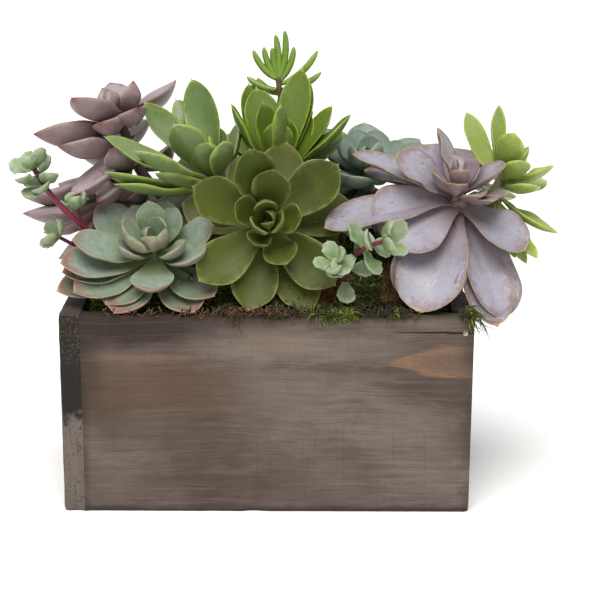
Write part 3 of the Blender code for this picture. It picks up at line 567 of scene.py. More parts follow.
def leafMaterial(name, look, skin=leafSkin):
    material, tree = newMaterial(name)
    place = objectPlace(tree)
    fields = {key: readAttribute(tree, key) for key in ("along", "rim", "under", "tone", "age")}
    flat = addNode(tree, "ShaderNodeCombineXYZ", {
        "X": readAttribute(tree, "lengthways"),
        "Y": readAttribute(tree, "sideways"),
        "Z": times(fields["tone"], skin["toneShift"]),
    }).outputs[0]
    fields |= {key: noiseOf(place, *row) for key, row in leafNoises.items()}
    for key, (tight, *row) in flatNoises.items():
        fields[key] = noiseOf(scaled(flat, tight), 1, *row)
    fields |= {
        "patches": noiseOf(place, look["patchScale"], 3, 0.55),
        "inside": over(fields["rim"], maskOf(fields, [skin["wander"]])),
        "cells": cellsOf(flat, look["pointScale"]),
        "edgeCore": look["edgeWidth"] * skin["core"],
    }
    colour = paint(look["root"], look, fields, leafCoats)
    shade = maskOf(fields, [skin["grain"]])
    grey = addNode(tree, "ShaderNodeCombineColor", {0: shade, 1: shade, 2: shade}).outputs[0]
    rough = [look["roughness"] + skin[key] for key in ("glossy", "dull")]
    normal = None
    for field, depth, strength in leafBumps:
        normal = bumpOf(fields[field], depth, look.get(strength, strength), normal)
    finishShader(tree, {
        "Base Color": mixOf(1.0, colour, grey, "MULTIPLY"),
        "Roughness": stretch(fields["rubbed"], 0.3, 0.7, *rough),
        "Subsurface Weight": look["translucent"],
        "Subsurface Radius": skin["radius"],
        "Subsurface Scale": skin["depth"],
        "Specular IOR Level": look["gloss"],
        "Normal": normal,
    })
    return material


stemSkin = {
    "noises": {"bark": (260, 4, 0.6), "patches": (60, 3)},
    "base": "stem",
    "coats": (("stemOther", ("patches", 0.35, 0.65)), ("stemScar", ("bark", 0.5, 0.75, 0, 0.5))),
    "shader": {"Roughness": 0.5, "Subsurface Weight": 0.05, "Subsurface Scale": 0.002},
    "bump": ("bark", 0.0005, 0.7),
}

# the look that every plant starts from; its bloom colour also paints a pale highlight, its edge
# colour is partly a painted bright rim light and its glow colour paints a lit rim
plainLook = {
    "root": (0.1, 0.14, 0.06), "body": (0.12, 0.19, 0.06), "tip": (0.13, 0.21, 0.06),
    "heart": (0.1, 0.17, 0.04), "old": (0.12, 0.13, 0.05), "oldShare": 0,
    "other": (0.16, 0.22, 0.09), "variety": 0.5, "patch": (0.16, 0.22, 0.09), "mottle": 0.3,
    "patchScale": 60, "heartTo": 0.62, "vein": (0.09, 0.14, 0.05), "veining": 0.2,
    "under": (0.12, 0.17, 0.07), "underShare": 0.6, "blush": 0, "blushWidth": 4, "blushFrom": 0.25,
    "blushTo": 0.7, "blushColour": (0.3, 0.2, 0.12), "youngBlush": 1, "youngEdge": 0.8,
    "edgeFaded": 0.3, "nibFrom": 0.965, "bloomLeft": 0.2, "oldBloom": 1, "glow": 0.35,
    "glowWidth": 2.4, "glowColour": (0.25, 0.33, 0.08), "edge": 0.6, "edgeWidth": 0.7,
    "edgeColour": (0.35, 0.3, 0.15), "nib": 0.7, "nibColour": (0.4, 0.25, 0.15), "points": 0,
    "pointScale": 420, "pointColour": (0.35, 0.38, 0.22), "scars": 0,
    "scarColour": (0.12, 0.07, 0.04), "bloom": 0.05, "bloomColour": (0.5, 0.58, 0.48),
    "roughness": 0.42, "translucent": 0.15, "gloss": 0.45, "ridges": 0.4,
    "stem": (0.1, 0.11, 0.05), "stemOther": (0.16, 0.13, 0.08), "stemScar": (0.07, 0.05, 0.03),
}


def dressPlant(name, node, plant, look, blades):
    form = leafForms[plant["kind"]]
    blade = blades["finger" if plant["kind"] == "finger" else "broad"]
    grow = growRosette if "leaves" in plant else growStems
    leaves, stems = grow(plant, form, blade)
    look = plainLook | look
    green = leafMaterial(name + "Leaf", look)
    bark = plainMaterial(name + "Stem", look | stemSkin)
    for leaf in leaves:
        coat(leaf, green)
    for stem in stems:
        coat(stem, bark)
    piece = joinAll([*leaves, *stems], name)
    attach(piece, "root")
    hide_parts(node)
    print(name, "grown with", len(leaves), "leaves,", len(piece.data.polygons), "faces")


# Leaf rows: how far up the heart the leaf starts, its clock, how far it opens from the axis, its
# length, its width and its roll about its own length
rosetteFront = {
    "kind": "wedge", "base": (0, -24, 175), "tilt": 68, "heading": -90, "heart": 12, "stem": 4.5,
    "foot": (1, 0),
    "leaves": (
        (-1.1, 164, 98, 58, 29, 3.4), (-1.1, -170, 98, 58, 29, -5), (-1.1, 14, 98, 58, 29, 4),
        (-1.1, 78, 98, 58, 29, -0.9), (0.7, -63, 85, 62, 28, -2.7), (3.2, -138, 74, 59, 30, 4.8),
        (1.2, -102, 79, 58, 29, -1), (1.5, -43, 79, 59, 30, 1.7), (1.5, 40, 79, 59, 30, 1.9),
        (3.6, 157, 63, 56, 28, -4.5), (5.6, 105, 48, 56, 27, 4.8), (6.4, 82, 42, 43, 24, -2.5),
        (3.7, -66, 62, 34, 22, -1.1), (6.7, 157, 40, 33, 19, 4.1), (6.7, 2, 40, 33, 19, -5),
        (6.1, -116, 44, 25, 16, 3.2), (9.3, 100, 20, 27, 15, 0.2), (9.3, -20, 20, 27, 15, -3.5),
        (9.3, -140, 20, 27, 15, 5), (10.8, 40, 9, 19, 9, -3.8), (10.8, -80, 9, 19, 9, 0.7),
        (-1.9, 113, 92, 50, 27, 3.4), (-1.9, -17, 104, 50, 27, -5),
    ),
}
rosetteFrontLook = {
    "root": (0.085, 0.115, 0.014), "body": (0.038, 0.06, 0.003), "tip": (0.054, 0.076, 0.006),
    "heart": (0.017, 0.038, 0.002), "old": (0.085, 0.082, 0.018), "oldShare": 0.6,
    "other": (0.085, 0.11, 0.018), "patch": (0.09, 0.108, 0.016), "mottle": 0.65,
    "vein": (0.032, 0.052, 0.005), "under": (0.065, 0.082, 0.014), "edge": 0.7, "edgeWidth": 0.55,
    "edgeColour": (0.36, 0.31, 0.13), "blush": 0.4, "blushWidth": 5,
    "blushColour": (0.15, 0.1, 0.028), "nibColour": (0.34, 0.22, 0.1), "points": 0.25,
    "pointColour": (0.14, 0.17, 0.06), "bloom": 0, "roughness": 0.5, "gloss": 0.22,
    "stem": (0.08, 0.1, 0.02), "stemOther": (0.12, 0.1, 0.04), "glow": 0.6,
    "glowColour": (0.17, 0.2, 0.055), "patchScale": 38, "edgeFaded": 0.15, "youngBlush": 0.3,
    "glowWidth": 3, "scars": 0.25, "variety": 0.9, "nib": 0.5,
}

echeveriaLeft = {
    "kind": "spoon", "base": (-70, -21, 153), "tilt": 35, "heading": -95, "heart": 9, "stem": 5.4,
    "foot": (-70, -18),
    "leaves": (
        (0.3, -156, 87, 67, 28, 3.4), (1, -144, 80, 61, 28, -5), (1, -162, 80, 61, 28, 4),
        (1.8, -161, 72, 63, 28, -0.9), (0, -61, 87, 55, 28, -2.7), (0, -115, 83, 55, 28, 4.8),
        (-0.1, -45, 84, 54, 28, -4.4), (0.6, -125, 84, 51, 28, 1.7), (1, 139, 73, 53, 28, 1.9),
        (0.2, 124, 82, 51, 27, -4.5), (1, 108, 80, 53, 28, 4.8), (1, 72, 80, 53, 28, -2.5),
        (2, -90, 70, 44, 27, -1.1), (2.8, -172, 62, 56, 26, 4.1), (2.8, -30, 59, 45, 24, -5),
        (3, 118, 60, 36, 22, 3.2), (3, 75, 57, 36, 22, 0.2), (4.4, -38, 46, 33, 19, -3.5),
        (4.4, -150, 46, 33, 19, 5), (4.4, 46, 43, 33, 19, -3.8), (6, -139, 30, 34, 18, 0.7),
        (6, 96, 30, 34, 18, 2.9), (6, -175, 30, 34, 18, -4.9), (7, -40, 20, 25, 14, 4.3),
        (7, 60, 20, 25, 14, -1.5), (7, -90, 20, 25, 14, -2.1), (8.2, 150, 8, 19, 10, 4.6),
        (-0.2, 26, 85, 39.5, 23.8, 3.4), (-0.2, 42, 85, 52, 27, -5), (2.8, 8, 62, 44, 24, 4),
    ),
}
echeveriaLeftLook = {
    "root": (0.22, 0.31, 0.05), "body": (0.15, 0.225, 0.08), "tip": (0.19, 0.25, 0.15),
    "heart": (0.175, 0.27, 0.07), "old": (0.085, 0.082, 0.046), "oldShare": 0.85,
    "other": (0.19, 0.25, 0.14), "patch": (0.23, 0.27, 0.2), "mottle": 0.45,
    "vein": (0.12, 0.17, 0.09), "under": (0.21, 0.13, 0.095), "underShare": 0.7,
    "edgeColour": (0.43, 0.31, 0.24), "blush": 0.95, "blushWidth": 9,
    "blushColour": (0.31, 0.085, 0.095), "nibColour": (0.32, 0.09, 0.08), "bloom": 0.6,
    "bloomColour": (0.37, 0.44, 0.44), "roughness": 0.36, "gloss": 0.55, "scars": 0.3,
    "scarColour": (0.12, 0.06, 0.04), "stem": (0.13, 0.15, 0.06), "stemOther": (0.15, 0.11, 0.06),
    "glow": 0.45, "glowColour": (0.36, 0.41, 0.27), "patchScale": 42, "edgeFaded": 0.1,
    "youngEdge": 0.25, "youngBlush": 0.12, "bloomLeft": 0.25, "glowWidth": 2.2, "oldBloom": 0.25,
    "nib": 0.2, "blushFrom": 0.66, "blushTo": 0.93,
}

echeveriaPurple = {
    "kind": "paddle", "base": (119, -8, 190), "tilt": 15, "heading": -75, "heart": 5,
    "heartWide": 1, "stem": 5.5, "foot": (94, 0),
    "leaves": (
        (-6, -109, 123, 80, 44, 3.4), (-5.3, -113, 130, 74, 48, -5), (-5.5, -63, 131, 83, 34, 4),
        (-5.5, -55, 131, 79, 40, -0.9), (-1.9, -149, 104, 57, 54, -26.7),
        (-2.7, -30, 110, 54, 38, 4.8), (-1.2, -163, 99, 88, 34, -4.4),
        (-1.4, 156, 86, 64, 26, 1.7), (-0.9, 168, 74, 72, 25, 1.9), (-0.4, 176, 58, 49, 26, -24.5),
        (-0.2, 107, 54, 52, 20, 44.8), (0, -8, 46, 39, 24, -2.5), (-0.9, -45, 69, 33, 17, -1.1),
        (0, 100, 44, 29, 15, 4.1), (0, -155, 44, 29, 15, -5), (0.7, -95, 27, 28, 13, 3.2),
        (0.7, 30, 27, 28, 13, 0.2), (1.6, 170, 8, 25, 8, -3.5), (-2.1, 95, 106, 58, 34, 3.4),
        (-2.1, 64, 106, 30.2, 25.8, -5), (-2.1, 125, 106, 58, 34, 4), (-1.1, 80, 74, 51, 30, -0.9),
        (-1.1, 112, 70, 51, 30, -2.7), (0.2, -62, 62, 31, 15, 3), (0.1, -22, 72, 34, 15, -4),
        (0.9, -100, 48, 27, 14, 4),
    ),
}
echeveriaPurpleLook = {
    "root": (0.19, 0.125, 0.11), "body": (0.225, 0.185, 0.205), "tip": (0.2, 0.15, 0.15),
    "heart": (0.215, 0.15, 0.135), "old": (0.2, 0.17, 0.2), "oldShare": 0.3,
    "other": (0.185, 0.135, 0.145), "patch": (0.3, 0.27, 0.31), "mottle": 0.45,
    "vein": (0.165, 0.12, 0.13), "veining": 0.4, "under": (0.19, 0.12, 0.115), "underShare": 0.7,
    "edge": 0.85, "edgeWidth": 0.9, "edgeColour": (0.44, 0.38, 0.2), "blush": 0.8, "blushWidth": 7,
    "blushColour": (0.23, 0.125, 0.115), "nibColour": (0.34, 0.27, 0.12), "scars": 0.8,
    "scarColour": (0.15, 0.075, 0.06), "bloom": 0.6, "bloomColour": (0.42, 0.43, 0.53),
    "roughness": 0.36, "gloss": 0.5, "ridges": 0.8, "stem": (0.19, 0.12, 0.105),
    "stemOther": (0.15, 0.09, 0.075), "stemScar": (0.07, 0.04, 0.03),
    "glowColour": (0.3, 0.2, 0.19), "variety": 0.7, "heartTo": 1.02, "patchScale": 26,
    "edgeFaded": 0.1, "youngEdge": 0.35, "bloomLeft": 0.58, "oldBloom": 0.9,
}

rosetteBackLeft = {
    "kind": "strap", "base": (-27, 2, 188), "tilt": 25, "heading": 175, "heart": 16, "stem": 5,
    "foot": (-18, 6),
    "leaves": (
        (5.2, -156, 61, 73, 20, 3.4), (5.2, 194, 58, 73, 20, -5), (6, -159, 56, 79, 20, 4),
        (7.6, -134, 47, 69, 20, -0.9), (8.4, -150, 43, 84, 25, -37.7),
        (6.4, -141, 54, 50, 18, 4.8), (8.2, 28, 44, 44, 22, -4.4), (10.1, 100, 33, 70, 20, 1.7),
        (11.6, 142, 25, 72, 25, 1.9), (11.6, 72, 25, 72, 25, -4.5), (11.4, -110, 26, 52, 24, 4.8),
        (8.5, -50, 42, 36, 20, -2.5), (10.5, -90, 31, 36, 20, -1.1), (10.5, 40, 31, 36, 20, 4.1),
        (13.5, 170, 14, 28, 13, -5), (13.5, 0, 14, 28, 13, 3.2), (13.5, 80, 14, 28, 13, 0.2),
        (1.1, 100, 84, 58, 22, 3.4), (1.1, 118, 81, 58, 22, -5), (1.1, 75, 84, 58, 22, 4),
        (1.1, 139, 77, 58, 22, -0.9), (5, 115, 62, 56, 22, -2.7), (5, 85, 62, 56, 22, 4.8),
    ),
}
rosetteBackLeftLook = {
    "root": (0.15, 0.22, 0.025), "body": (0.155, 0.225, 0.05), "tip": (0.21, 0.28, 0.085),
    "heart": (0.075, 0.145, 0.004), "old": (0.1, 0.145, 0.035), "oldShare": 0.4,
    "other": (0.22, 0.29, 0.11), "patch": (0.22, 0.27, 0.13), "mottle": 0.5,
    "vein": (0.08, 0.125, 0.03), "under": (0.11, 0.16, 0.035), "edge": 0.7, "edgeWidth": 0.55,
    "edgeColour": (0.33, 0.4, 0.18), "nibColour": (0.42, 0.42, 0.26), "bloom": 0.14,
    "roughness": 0.36, "gloss": 0.5, "glow": 0.7, "glowColour": (0.31, 0.42, 0.06),
    "patchScale": 40, "bloomColour": (0.42, 0.48, 0.36),
}

rosetteBackCentre = {
    "kind": "strap", "base": (6, 16, 190), "tilt": 10, "heading": -90, "heart": 14, "stem": 5,
    "foot": (12, 20),
    "leaves": (
        (7.5, 115, 42, 70, 24, 3.4), (8.1, 112, 38, 64, 25, -5), (8.4, 66, 36, 73, 23, 4),
        (9.2, 66, 31, 74, 22, -0.9), (8.7, -8, 46, 66, 25, -2.7), (10.9, -35, 2, 48, 19, 4.8),
        (10.9, 134, 17, 48, 19, -4.4), (10.9, -95, 2, 37, 20, 1.7), (10.9, 60, 20, 37, 20, 1.9),
        (12.1, 20, 12, 26, 12, -4.5), (12.1, 140, 12, 26, 12, 4.8), (12.1, -110, 9, 26, 12, -2.5),
        (0.3, 44, 91, 54, 23, 3.4), (0.3, 100, 76, 54, 23, -5), (0.3, 117, 76, 54, 23, 4),
        (0.3, 40, 88, 54, 23, -0.9), (3.7, 59, 40, 56, 24, -2.7), (3.7, 121, 66, 56, 24, 4.8),
        (3.7, 55, 59, 56, 24, -4.4), (3.7, 135, 66, 56, 24, 1.7), (3.7, 15, 54, 56, 24, 1.9),
        (7.5, 28, 42, 60, 22, -4.5), (7.5, 181, 30, 60, 22, 4.8),
    ),
}
rosetteBackCentreLook = {
    "root": (0.055, 0.09, 0.008), "body": (0.082, 0.145, 0.004), "tip": (0.125, 0.2, 0.01),
    "heart": (0.085, 0.15, 0.006), "old": (0.065, 0.1, 0.01), "oldShare": 0.5,
    "other": (0.145, 0.215, 0.018), "patch": (0.12, 0.18, 0.025), "mottle": 0.4,
    "vein": (0.045, 0.08, 0.006), "under": (0.08, 0.13, 0.012), "edge": 0.8, "edgeWidth": 0.6,
    "edgeColour": (0.32, 0.38, 0.1), "nibColour": (0.38, 0.38, 0.15), "bloom": 0.02,
    "roughness": 0.34, "gloss": 0.55, "glow": 0.75, "glowColour": (0.24, 0.34, 0.018),
    "patchScale": 45,
}

aeoniumRight = {
    "kind": "strap", "base": (146, 10, 190), "tilt": 20, "heading": -10, "heart": 12, "stem": 4.5,
    "foot": (101, 24),
    "leaves": (
        (-2.7, -46, 113, 54, 16, 3.4), (-0.8, -29, 96, 50, 15, -5), (-1.2, -14, 99, 46, 15, 4),
        (-2.4, -36, 127, 50, 15, 8), (-2.8, -62, 120, 50, 15, -6), (-2, -18, 120, 42, 15, 4),
        (1.1, 140, 82, 58, 18, -0.9), (3.5, -48, 64, 34, 18, -2.7), (2.8, 27, 69, 38, 22, 4.8),
        (5.6, -12, 48, 38, 22, -4.4), (5.7, 162, 47, 52, 15, -48.3), (8, 130, 30, 51, 15, 1.9),
        (6.4, 70, 42, 32, 18, -4.5), (6.4, -75, 42, 32, 18, 4.8), (8.8, -114, 24, 38, 19, -2.5),
        (9.6, 0, 18, 28, 13, -1.1), (9.6, 150, 18, 28, 13, 4.1), (-0.7, 70, 95, 48, 18, 3.4),
        (-0.7, 100, 95, 48, 18, -5), (3.7, 88, 62, 44, 18, 4),
    ),
}
aeoniumRightLook = {
    "root": (0.2, 0.29, 0.03), "body": (0.28, 0.375, 0.035), "tip": (0.32, 0.41, 0.07),
    "heart": (0.19, 0.3, 0.02), "old": (0.22, 0.29, 0.045), "oldShare": 0.4,
    "other": (0.33, 0.4, 0.19), "patch": (0.36, 0.42, 0.13), "mottle": 0.4,
    "vein": (0.14, 0.21, 0.025), "under": (0.2, 0.28, 0.04), "edge": 0.5,
    "edgeColour": (0.38, 0.42, 0.16), "bloom": 0.03, "roughness": 0.36, "stem": (0.11, 0.13, 0.04),
    "glow": 0.6, "glowColour": (0.46, 0.54, 0.1), "variety": 0.8,
}

echeveriaBlue = {
    "kind": "spoon", "base": (64, 32, 192), "tilt": 20, "heading": -80, "heart": 9, "stem": 4.5,
    "foot": (58, 26),
    "leaves": (
        (2.6, 93, 64, 46, 26, 3.4), (2.6, 34, 64, 46, 26, -5), (2.6, 135, 64, 46, 26, 4),
        (3, 18, 60, 44, 25, -0.9), (3, -122, 60, 44, 25, -2.7), (3, -113, 60, 44, 25, 4.8),
        (4.6, 115, 44, 33, 21, -4.4), (4.6, 75, 44, 33, 21, 1.7), (4.6, 150, 44, 33, 21, 1.9),
        (4.6, 20, 44, 33, 21, -4.5), (4.6, -55, 62, 21.1, 17.2, 4.8), (6.2, 90, 28, 26, 16, -2.5),
        (6.2, -30, 10, 26, 16, -1.1), (6.2, -166, 28, 26, 16, 4.1), (7.8, 160, 9, 19, 10, -5),
        (7.8, -10, 12, 19, 10, 3.2), (0.2, 100, 88, 45, 26, 3.4), (0.2, 62, 88, 45, 26, -5),
        (0.2, 124, 76, 45, 26, 4), (0.2, 38, 81, 45, 26, -0.9), (0.2, 173, 106, 45, 26, -2.7),
        (-2.8, -105, 106, 46, 26, 4.8), (-2.8, -161, 111, 46, 26, -4.4),
        (-2.8, -55, 118, 46, 26, 1.7), (-2.8, -10, 118, 46, 26, 1.9),
    ),
}
echeveriaBlueLook = {
    "root": (0.1, 0.15, 0.08), "body": (0.125, 0.185, 0.135), "tip": (0.16, 0.22, 0.165),
    "heart": (0.15, 0.22, 0.15), "old": (0.09, 0.125, 0.08), "oldShare": 0.5,
    "other": (0.19, 0.255, 0.2), "patch": (0.2, 0.26, 0.2), "mottle": 0.5,
    "vein": (0.09, 0.13, 0.09), "under": (0.14, 0.18, 0.13), "edgeColour": (0.3, 0.34, 0.26),
    "bloom": 0.5, "bloomColour": (0.33, 0.41, 0.36), "roughness": 0.46, "gloss": 0.4, "glow": 0.5,
    "glowColour": (0.26, 0.33, 0.24),
}

# Stem rows: how far along the stem the leaf roots, then its clock, openness, length, width, roll
ghostPlantLeft = {
    "kind": "fleshy",
    "stems": (
        {"radius": 4,
         "path": ((-62, 14, 108), (-62, 14, 172), (-71, 15, 187), (-86, 17, 208), (-96, 20, 238)),
         "leaves": (
            (1, -116, 66, 50, 24, 0), (1, 45, 80, 58, 24, 0), (0.98, -61, 84, 36, 22, 0),
            (0.97, -105, 84, 36, 21, 0), (1, 95, 52, 36, 22, 0), (1, 150, 60, 36, 22, 0),
            (1, -20, 45, 26, 16, 0), (1, 130, 24, 22, 13, 0), (1, -100, 24, 20, 12, 0),
            (0.93, -156, 75, 62, 26, 30), (0.88, 85, 78, 48, 24, 0), (0.88, -142, 78, 53, 24, 10),
            (0.82, 140, 80, 48, 24, 0), (0.86, -143, 110, 58, 29, -10),
            (0.8, -134, 117, 46, 25, 0), (0.66, -169, 74, 31, 23, 0), (0.7, -146, 109, 23, 18, 0),
            (0.76, -95, 63, 40, 24, 0), (0.72, 60, 85, 44, 24, 0), (0.62, 115, 85, 44, 24, 0),
            (0.46, 60, 92, 42, 24, 0),
        )},
        {"radius": 3.4,
         "path": ((-84, 12, 108), (-84, 12, 157), (-92, 8, 169), (-104, 4, 186)),
         "leaves": (
            (1, -172, 62, 56, 20, 0), (1, 168, 88, 54, 19, 0), (0.97, -178, 104, 54, 19, 0),
            (0.94, 125, 84, 46, 20, 0), (0.84, 80, 84, 42, 20, 0), (0.98, 120, 45, 28, 15, 0),
            (0.98, -44, 28, 28, 15, 0),
        )},
        {"radius": 2.6,
         "path": ((-96, 7, 168), (-105, 7, 188), (-110, 6, 200)),
         "leaves": (
            (1, -177, 83, 50, 20, 10), (0.9, 150, 80, 34, 18, 0),
        )},
    ),
}
ghostPlantLeftLook = {
    "root": (0.17, 0.13, 0.1), "body": (0.235, 0.15, 0.142), "tip": (0.25, 0.135, 0.13),
    "heart": (0.2, 0.245, 0.21), "old": (0.2, 0.12, 0.095), "oldShare": 0.4,
    "other": (0.2, 0.125, 0.115), "patch": (0.33, 0.27, 0.29), "mottle": 0.75,
    "vein": (0.23, 0.095, 0.08), "veining": 0.55, "under": (0.19, 0.112, 0.1), "underShare": 0.65,
    "edge": 0.3, "edgeWidth": 1.2, "edgeColour": (0.4, 0.31, 0.29), "nib": 0.85,
    "nibColour": (0.24, 0.055, 0.045), "bloom": 0.62, "bloomColour": (0.43, 0.38, 0.43),
    "translucent": 0.1, "stem": (0.1, 0.065, 0.05), "stemOther": (0.07, 0.045, 0.035), "glow": 0.3,
    "glowColour": (0.42, 0.3, 0.27), "patchScale": 48, "nibFrom": 0.88, "bloomLeft": 0.3,
    "heartTo": 0.66, "scars": 0.4, "scarColour": (0.13, 0.055, 0.05),
}

sedumFingers = {
    "kind": "finger",
    "stems": (
        {"radius": 2.2,
         "path": ((16, 46, 108), (16, 46, 150), (13, 45, 205), (8, 41, 242), (6, 40, 257)),
         "leaves": (
            (0.96, 158, 65, 24, 4.4, 0), (1, 160, 34, 26, 4.4, 0), (1, 142, 20, 24, 4.2, 0),
            (1, 110, 8, 22, 4.4, 0), (1, 72, 12, 30, 4.6, 0), (1, 45, 20, 33, 4.6, 0),
            (0.99, 29, 34, 26, 4.4, 0), (0.98, 10, 56, 34, 4.4, 0), (0.96, 21, 78, 31, 4.4, 0),
            (0.97, 90, 50, 24, 4.4, 0), (0.94, 130, 66, 24, 4.4, 0), (0.9, 60, 64, 26, 4.4, 0),
            (0.86, 159, 78, 15.4, 3.6, 0), (0.82, 95, 64, 25, 4.4, 0), (0.76, 30, 64, 25, 4.4, 0),
            (0.7, 150, 64, 25, 4.4, 0), (0.64, 80, 66, 25, 4.4, 0), (0.57, 20, 66, 25, 4.4, 0),
            (0.5, 130, 66, 24, 4.4, 0),
        )},
    ),
}
sedumFingersLook = {
    "root": (0.15, 0.22, 0.018), "body": (0.15, 0.25, 0.014), "tip": (0.25, 0.36, 0.035),
    "heart": (0.14, 0.24, 0.016), "other": (0.22, 0.33, 0.035), "patch": (0.17, 0.26, 0.04),
    "vein": (0.05, 0.09, 0.005), "under": (0.1, 0.16, 0.012), "underShare": 0.3, "edge": 0,
    "nibColour": (0.3, 0.3, 0.1), "bloom": 0.03, "roughness": 0.32, "gloss": 0.5,
    "stem": (0.09, 0.11, 0.02), "stemOther": (0.11, 0.09, 0.04), "glow": 0,
}

sprigLeft = {
    "kind": "small",
    "stems": (
        {"radius": 2.2,
         "path": (
            (-95, 2, 104), (-95, 2, 150), (-104, -12, 160), (-118, -26, 177), (-133, -34, 196),
            (-142, -36, 212),
         ),
         "leaves": (
            (1, -80, 35, 14, 10, 0), (1, 100, 35, 14, 10, 0), (1, -5, 48, 16, 11, -40),
            (1, 175, 48, 17, 11, -40), (0.97, 50, 66, 16, 11, 0), (0.97, -130, 66, 17, 12, 0),
            (0.93, -45, 72, 17, 12, -40), (0.93, 135, 76, 16, 12, 0), (0.92, -89, 80, 17, 12, 0),
            (0.91, -134, 76, 18, 12, -30),
        )},
        {"radius": 1.4,
         "path": ((-102, -9, 158), (-116, -22, 160), (-129, -29, 168)),
         "leaves": (
            (1, 180, 50, 14, 10, 0), (1, 5, 50, 14, 10, 0), (1, 90, 45, 14, 10, 0),
            (1, -106, 27, 14, 10, 0),
        )},
        {"radius": 1.4,
         "path": ((-110, -18, 166), (-116, -19, 175), (-119, -20, 184)),
         "leaves": (
            (1, 200, 40, 13, 9, 0), (1, 20, 40, 13, 9, 0), (1, 110, 35, 13, 9, 0),
            (1, -70, 35, 13, 9, 0),
        )},
    ),
}

sprigFront = {
    "kind": "small",
    "stems": (
        {"radius": 1.7,
         "path": (
            (47, -41, 106), (47, -41, 140), (49, -47, 152), (54, -54, 164), (62, -60, 171),
            (70, -63, 174),
         ),
         "leaves": (
            (1, 0, 45, 17, 12, 0), (1, 180, 45, 17, 12, 0), (1, 90, 50, 21, 13, 0),
            (1, -90, 50, 18, 13, 0), (0.91, 45, 75, 19, 13, 0), (0.91, 225, 75, 19, 13, 0),
            (0.83, -35, 85, 19, 13, 0), (0.83, 145, 85, 20, 13, 0), (0.74, 234, 107, 20, 13, 0),
            (0.74, 70, 60, 18, 12, 0), (0.6, 216, 90, 18, 12, 0), (0.6, 20, 90, 17, 12, 0),
            (0.48, -80, 110, 17, 12, 0),
        )},
        {"radius": 1.4,
         "path": ((48, -44, 147), (44, -52, 152), (41, -57, 159)),
         "leaves": (
            (1, 180, 60, 14, 10, 0), (1, 0, 40, 14, 10, 0), (1, 90, 50, 15, 10, 0),
            (1, -90, 60, 14, 10, 0),
        )},
    ),
}
sprigLook = {
    "root": (0.12, 0.18, 0.05), "body": (0.14, 0.24, 0.05), "tip": (0.24, 0.31, 0.15),
    "heart": (0.22, 0.33, 0.085), "other": (0.25, 0.32, 0.2), "patch": (0.3, 0.36, 0.25),
    "mottle": 0.6, "vein": (0.1, 0.155, 0.05), "under": (0.13, 0.19, 0.075), "edgeWidth": 0.5,
    "edgeColour": (0.36, 0.4, 0.3), "nibColour": (0.36, 0.3, 0.2), "bloom": 0.17,
    "bloomColour": (0.4, 0.48, 0.4), "roughness": 0.46, "gloss": 0.4, "stem": (0.2, 0.014, 0.048),
    "stemOther": (0.085, 0.014, 0.024), "stemScar": (0.03, 0.01, 0.008), "glow": 0.6,
    "glowColour": (0.34, 0.4, 0.27), "patchScale": 110, "veining": 0.35,
}

blades = {kind: modelBlade(*counts) for kind, counts in bladeBalls.items()}
for name, node, plant, look in (
    ("rosetteFront", "rosette_front", rosetteFront, rosetteFrontLook),
    ("echeveriaLeft", "echeveria_left", echeveriaLeft, echeveriaLeftLook),
    ("echeveriaPurple", "echeveria_purple", echeveriaPurple, echeveriaPurpleLook),
    ("rosetteBackLeft", "rosette_back_left", rosetteBackLeft, rosetteBackLeftLook),
    ("rosetteBackCentre", "rosette_back_centre", rosetteBackCentre, rosetteBackCentreLook),
    ("aeoniumRight", "aeonium_right", aeoniumRight, aeoniumRightLook),
    ("echeveriaBlue", "echeveria_blue", echeveriaBlue, echeveriaBlueLook),
    ("ghostPlantLeft", "ghost_plant_left", ghostPlantLeft, ghostPlantLeftLook),
    ("sedumFingers", "sedum_fingers", sedumFingers, sedumFingersLook),
    ("sprigLeft", "sprig_left", sprigLeft, sprigLook),
    ("sprigFront", "sprig_front", sprigFront, sprigLook),
):
    dressPlant(name, node, plant, look, blades)
for blade in blades.values():
    bpy.data.objects.remove(blade, do_unlink=True)


boardLook = {
    "mid": (0.124, 0.096, 0.080), "light": (0.188, 0.152, 0.129), "pale": (0.255, 0.200, 0.158),
    "dark": (0.062, 0.042, 0.032), "fibre": (0.098, 0.072, 0.058), "brown": (0.100, 0.055, 0.031),
    "grime": (0.028, 0.018, 0.012), "knot": (0.240, 0.136, 0.079), "crack": (0.010, 0.007, 0.005),
    "knotLine": (0.165, 0.092, 0.056), "endDark": (0.016, 0.011, 0.008),
    "endLight": (0.150, 0.121, 0.101), "endGreen": (0.085, 0.092, 0.066),
    "endSpeck": (0.085, 0.066, 0.048), "roughness": 0.7,
}

# low and high corners in millimetres, the way the grain runs, a shift of the pattern
boards = {
    "frontBoard": ("board_front", (-113.98, -63.5, 0), (127, -50.5, 127), "x", (0, 0, 0)),
    "rightBoard": ("board_right", (114, -50.2, 0), (127, 63.5, 127.8), "y", (0.9, 0.3, 0.1)),
    "backBoard": ("board_back", (-127, 50.5, 0), (113.7, 63.5, 127), "x", (1.7, 0.6, 0.4)),
    "leftBoard": ("board_left", (-127, -63.5, 0), (-114, 50.2, 127.8), "y", (2.6, 0.1, 0.7)),
}
bottomShift = (4.2, 0.5, 0.2)

# the mesh's cells, how far wear reaches, how deep it goes on edges and corners, and the seam
# between the front board and the left one's end, which is left sharp; all in millimetres
boardWear = {
    "cell": 3.2, "reach": 4, "edge": 2.5, "corner": 4, "inset": 2.6, "least": 0.35, "rough": 0.25,
    "chip": 2.6, "cornerDepth": 0.7, "seamX": -114, "seamY": -50, "seamWide": 2.5,
}

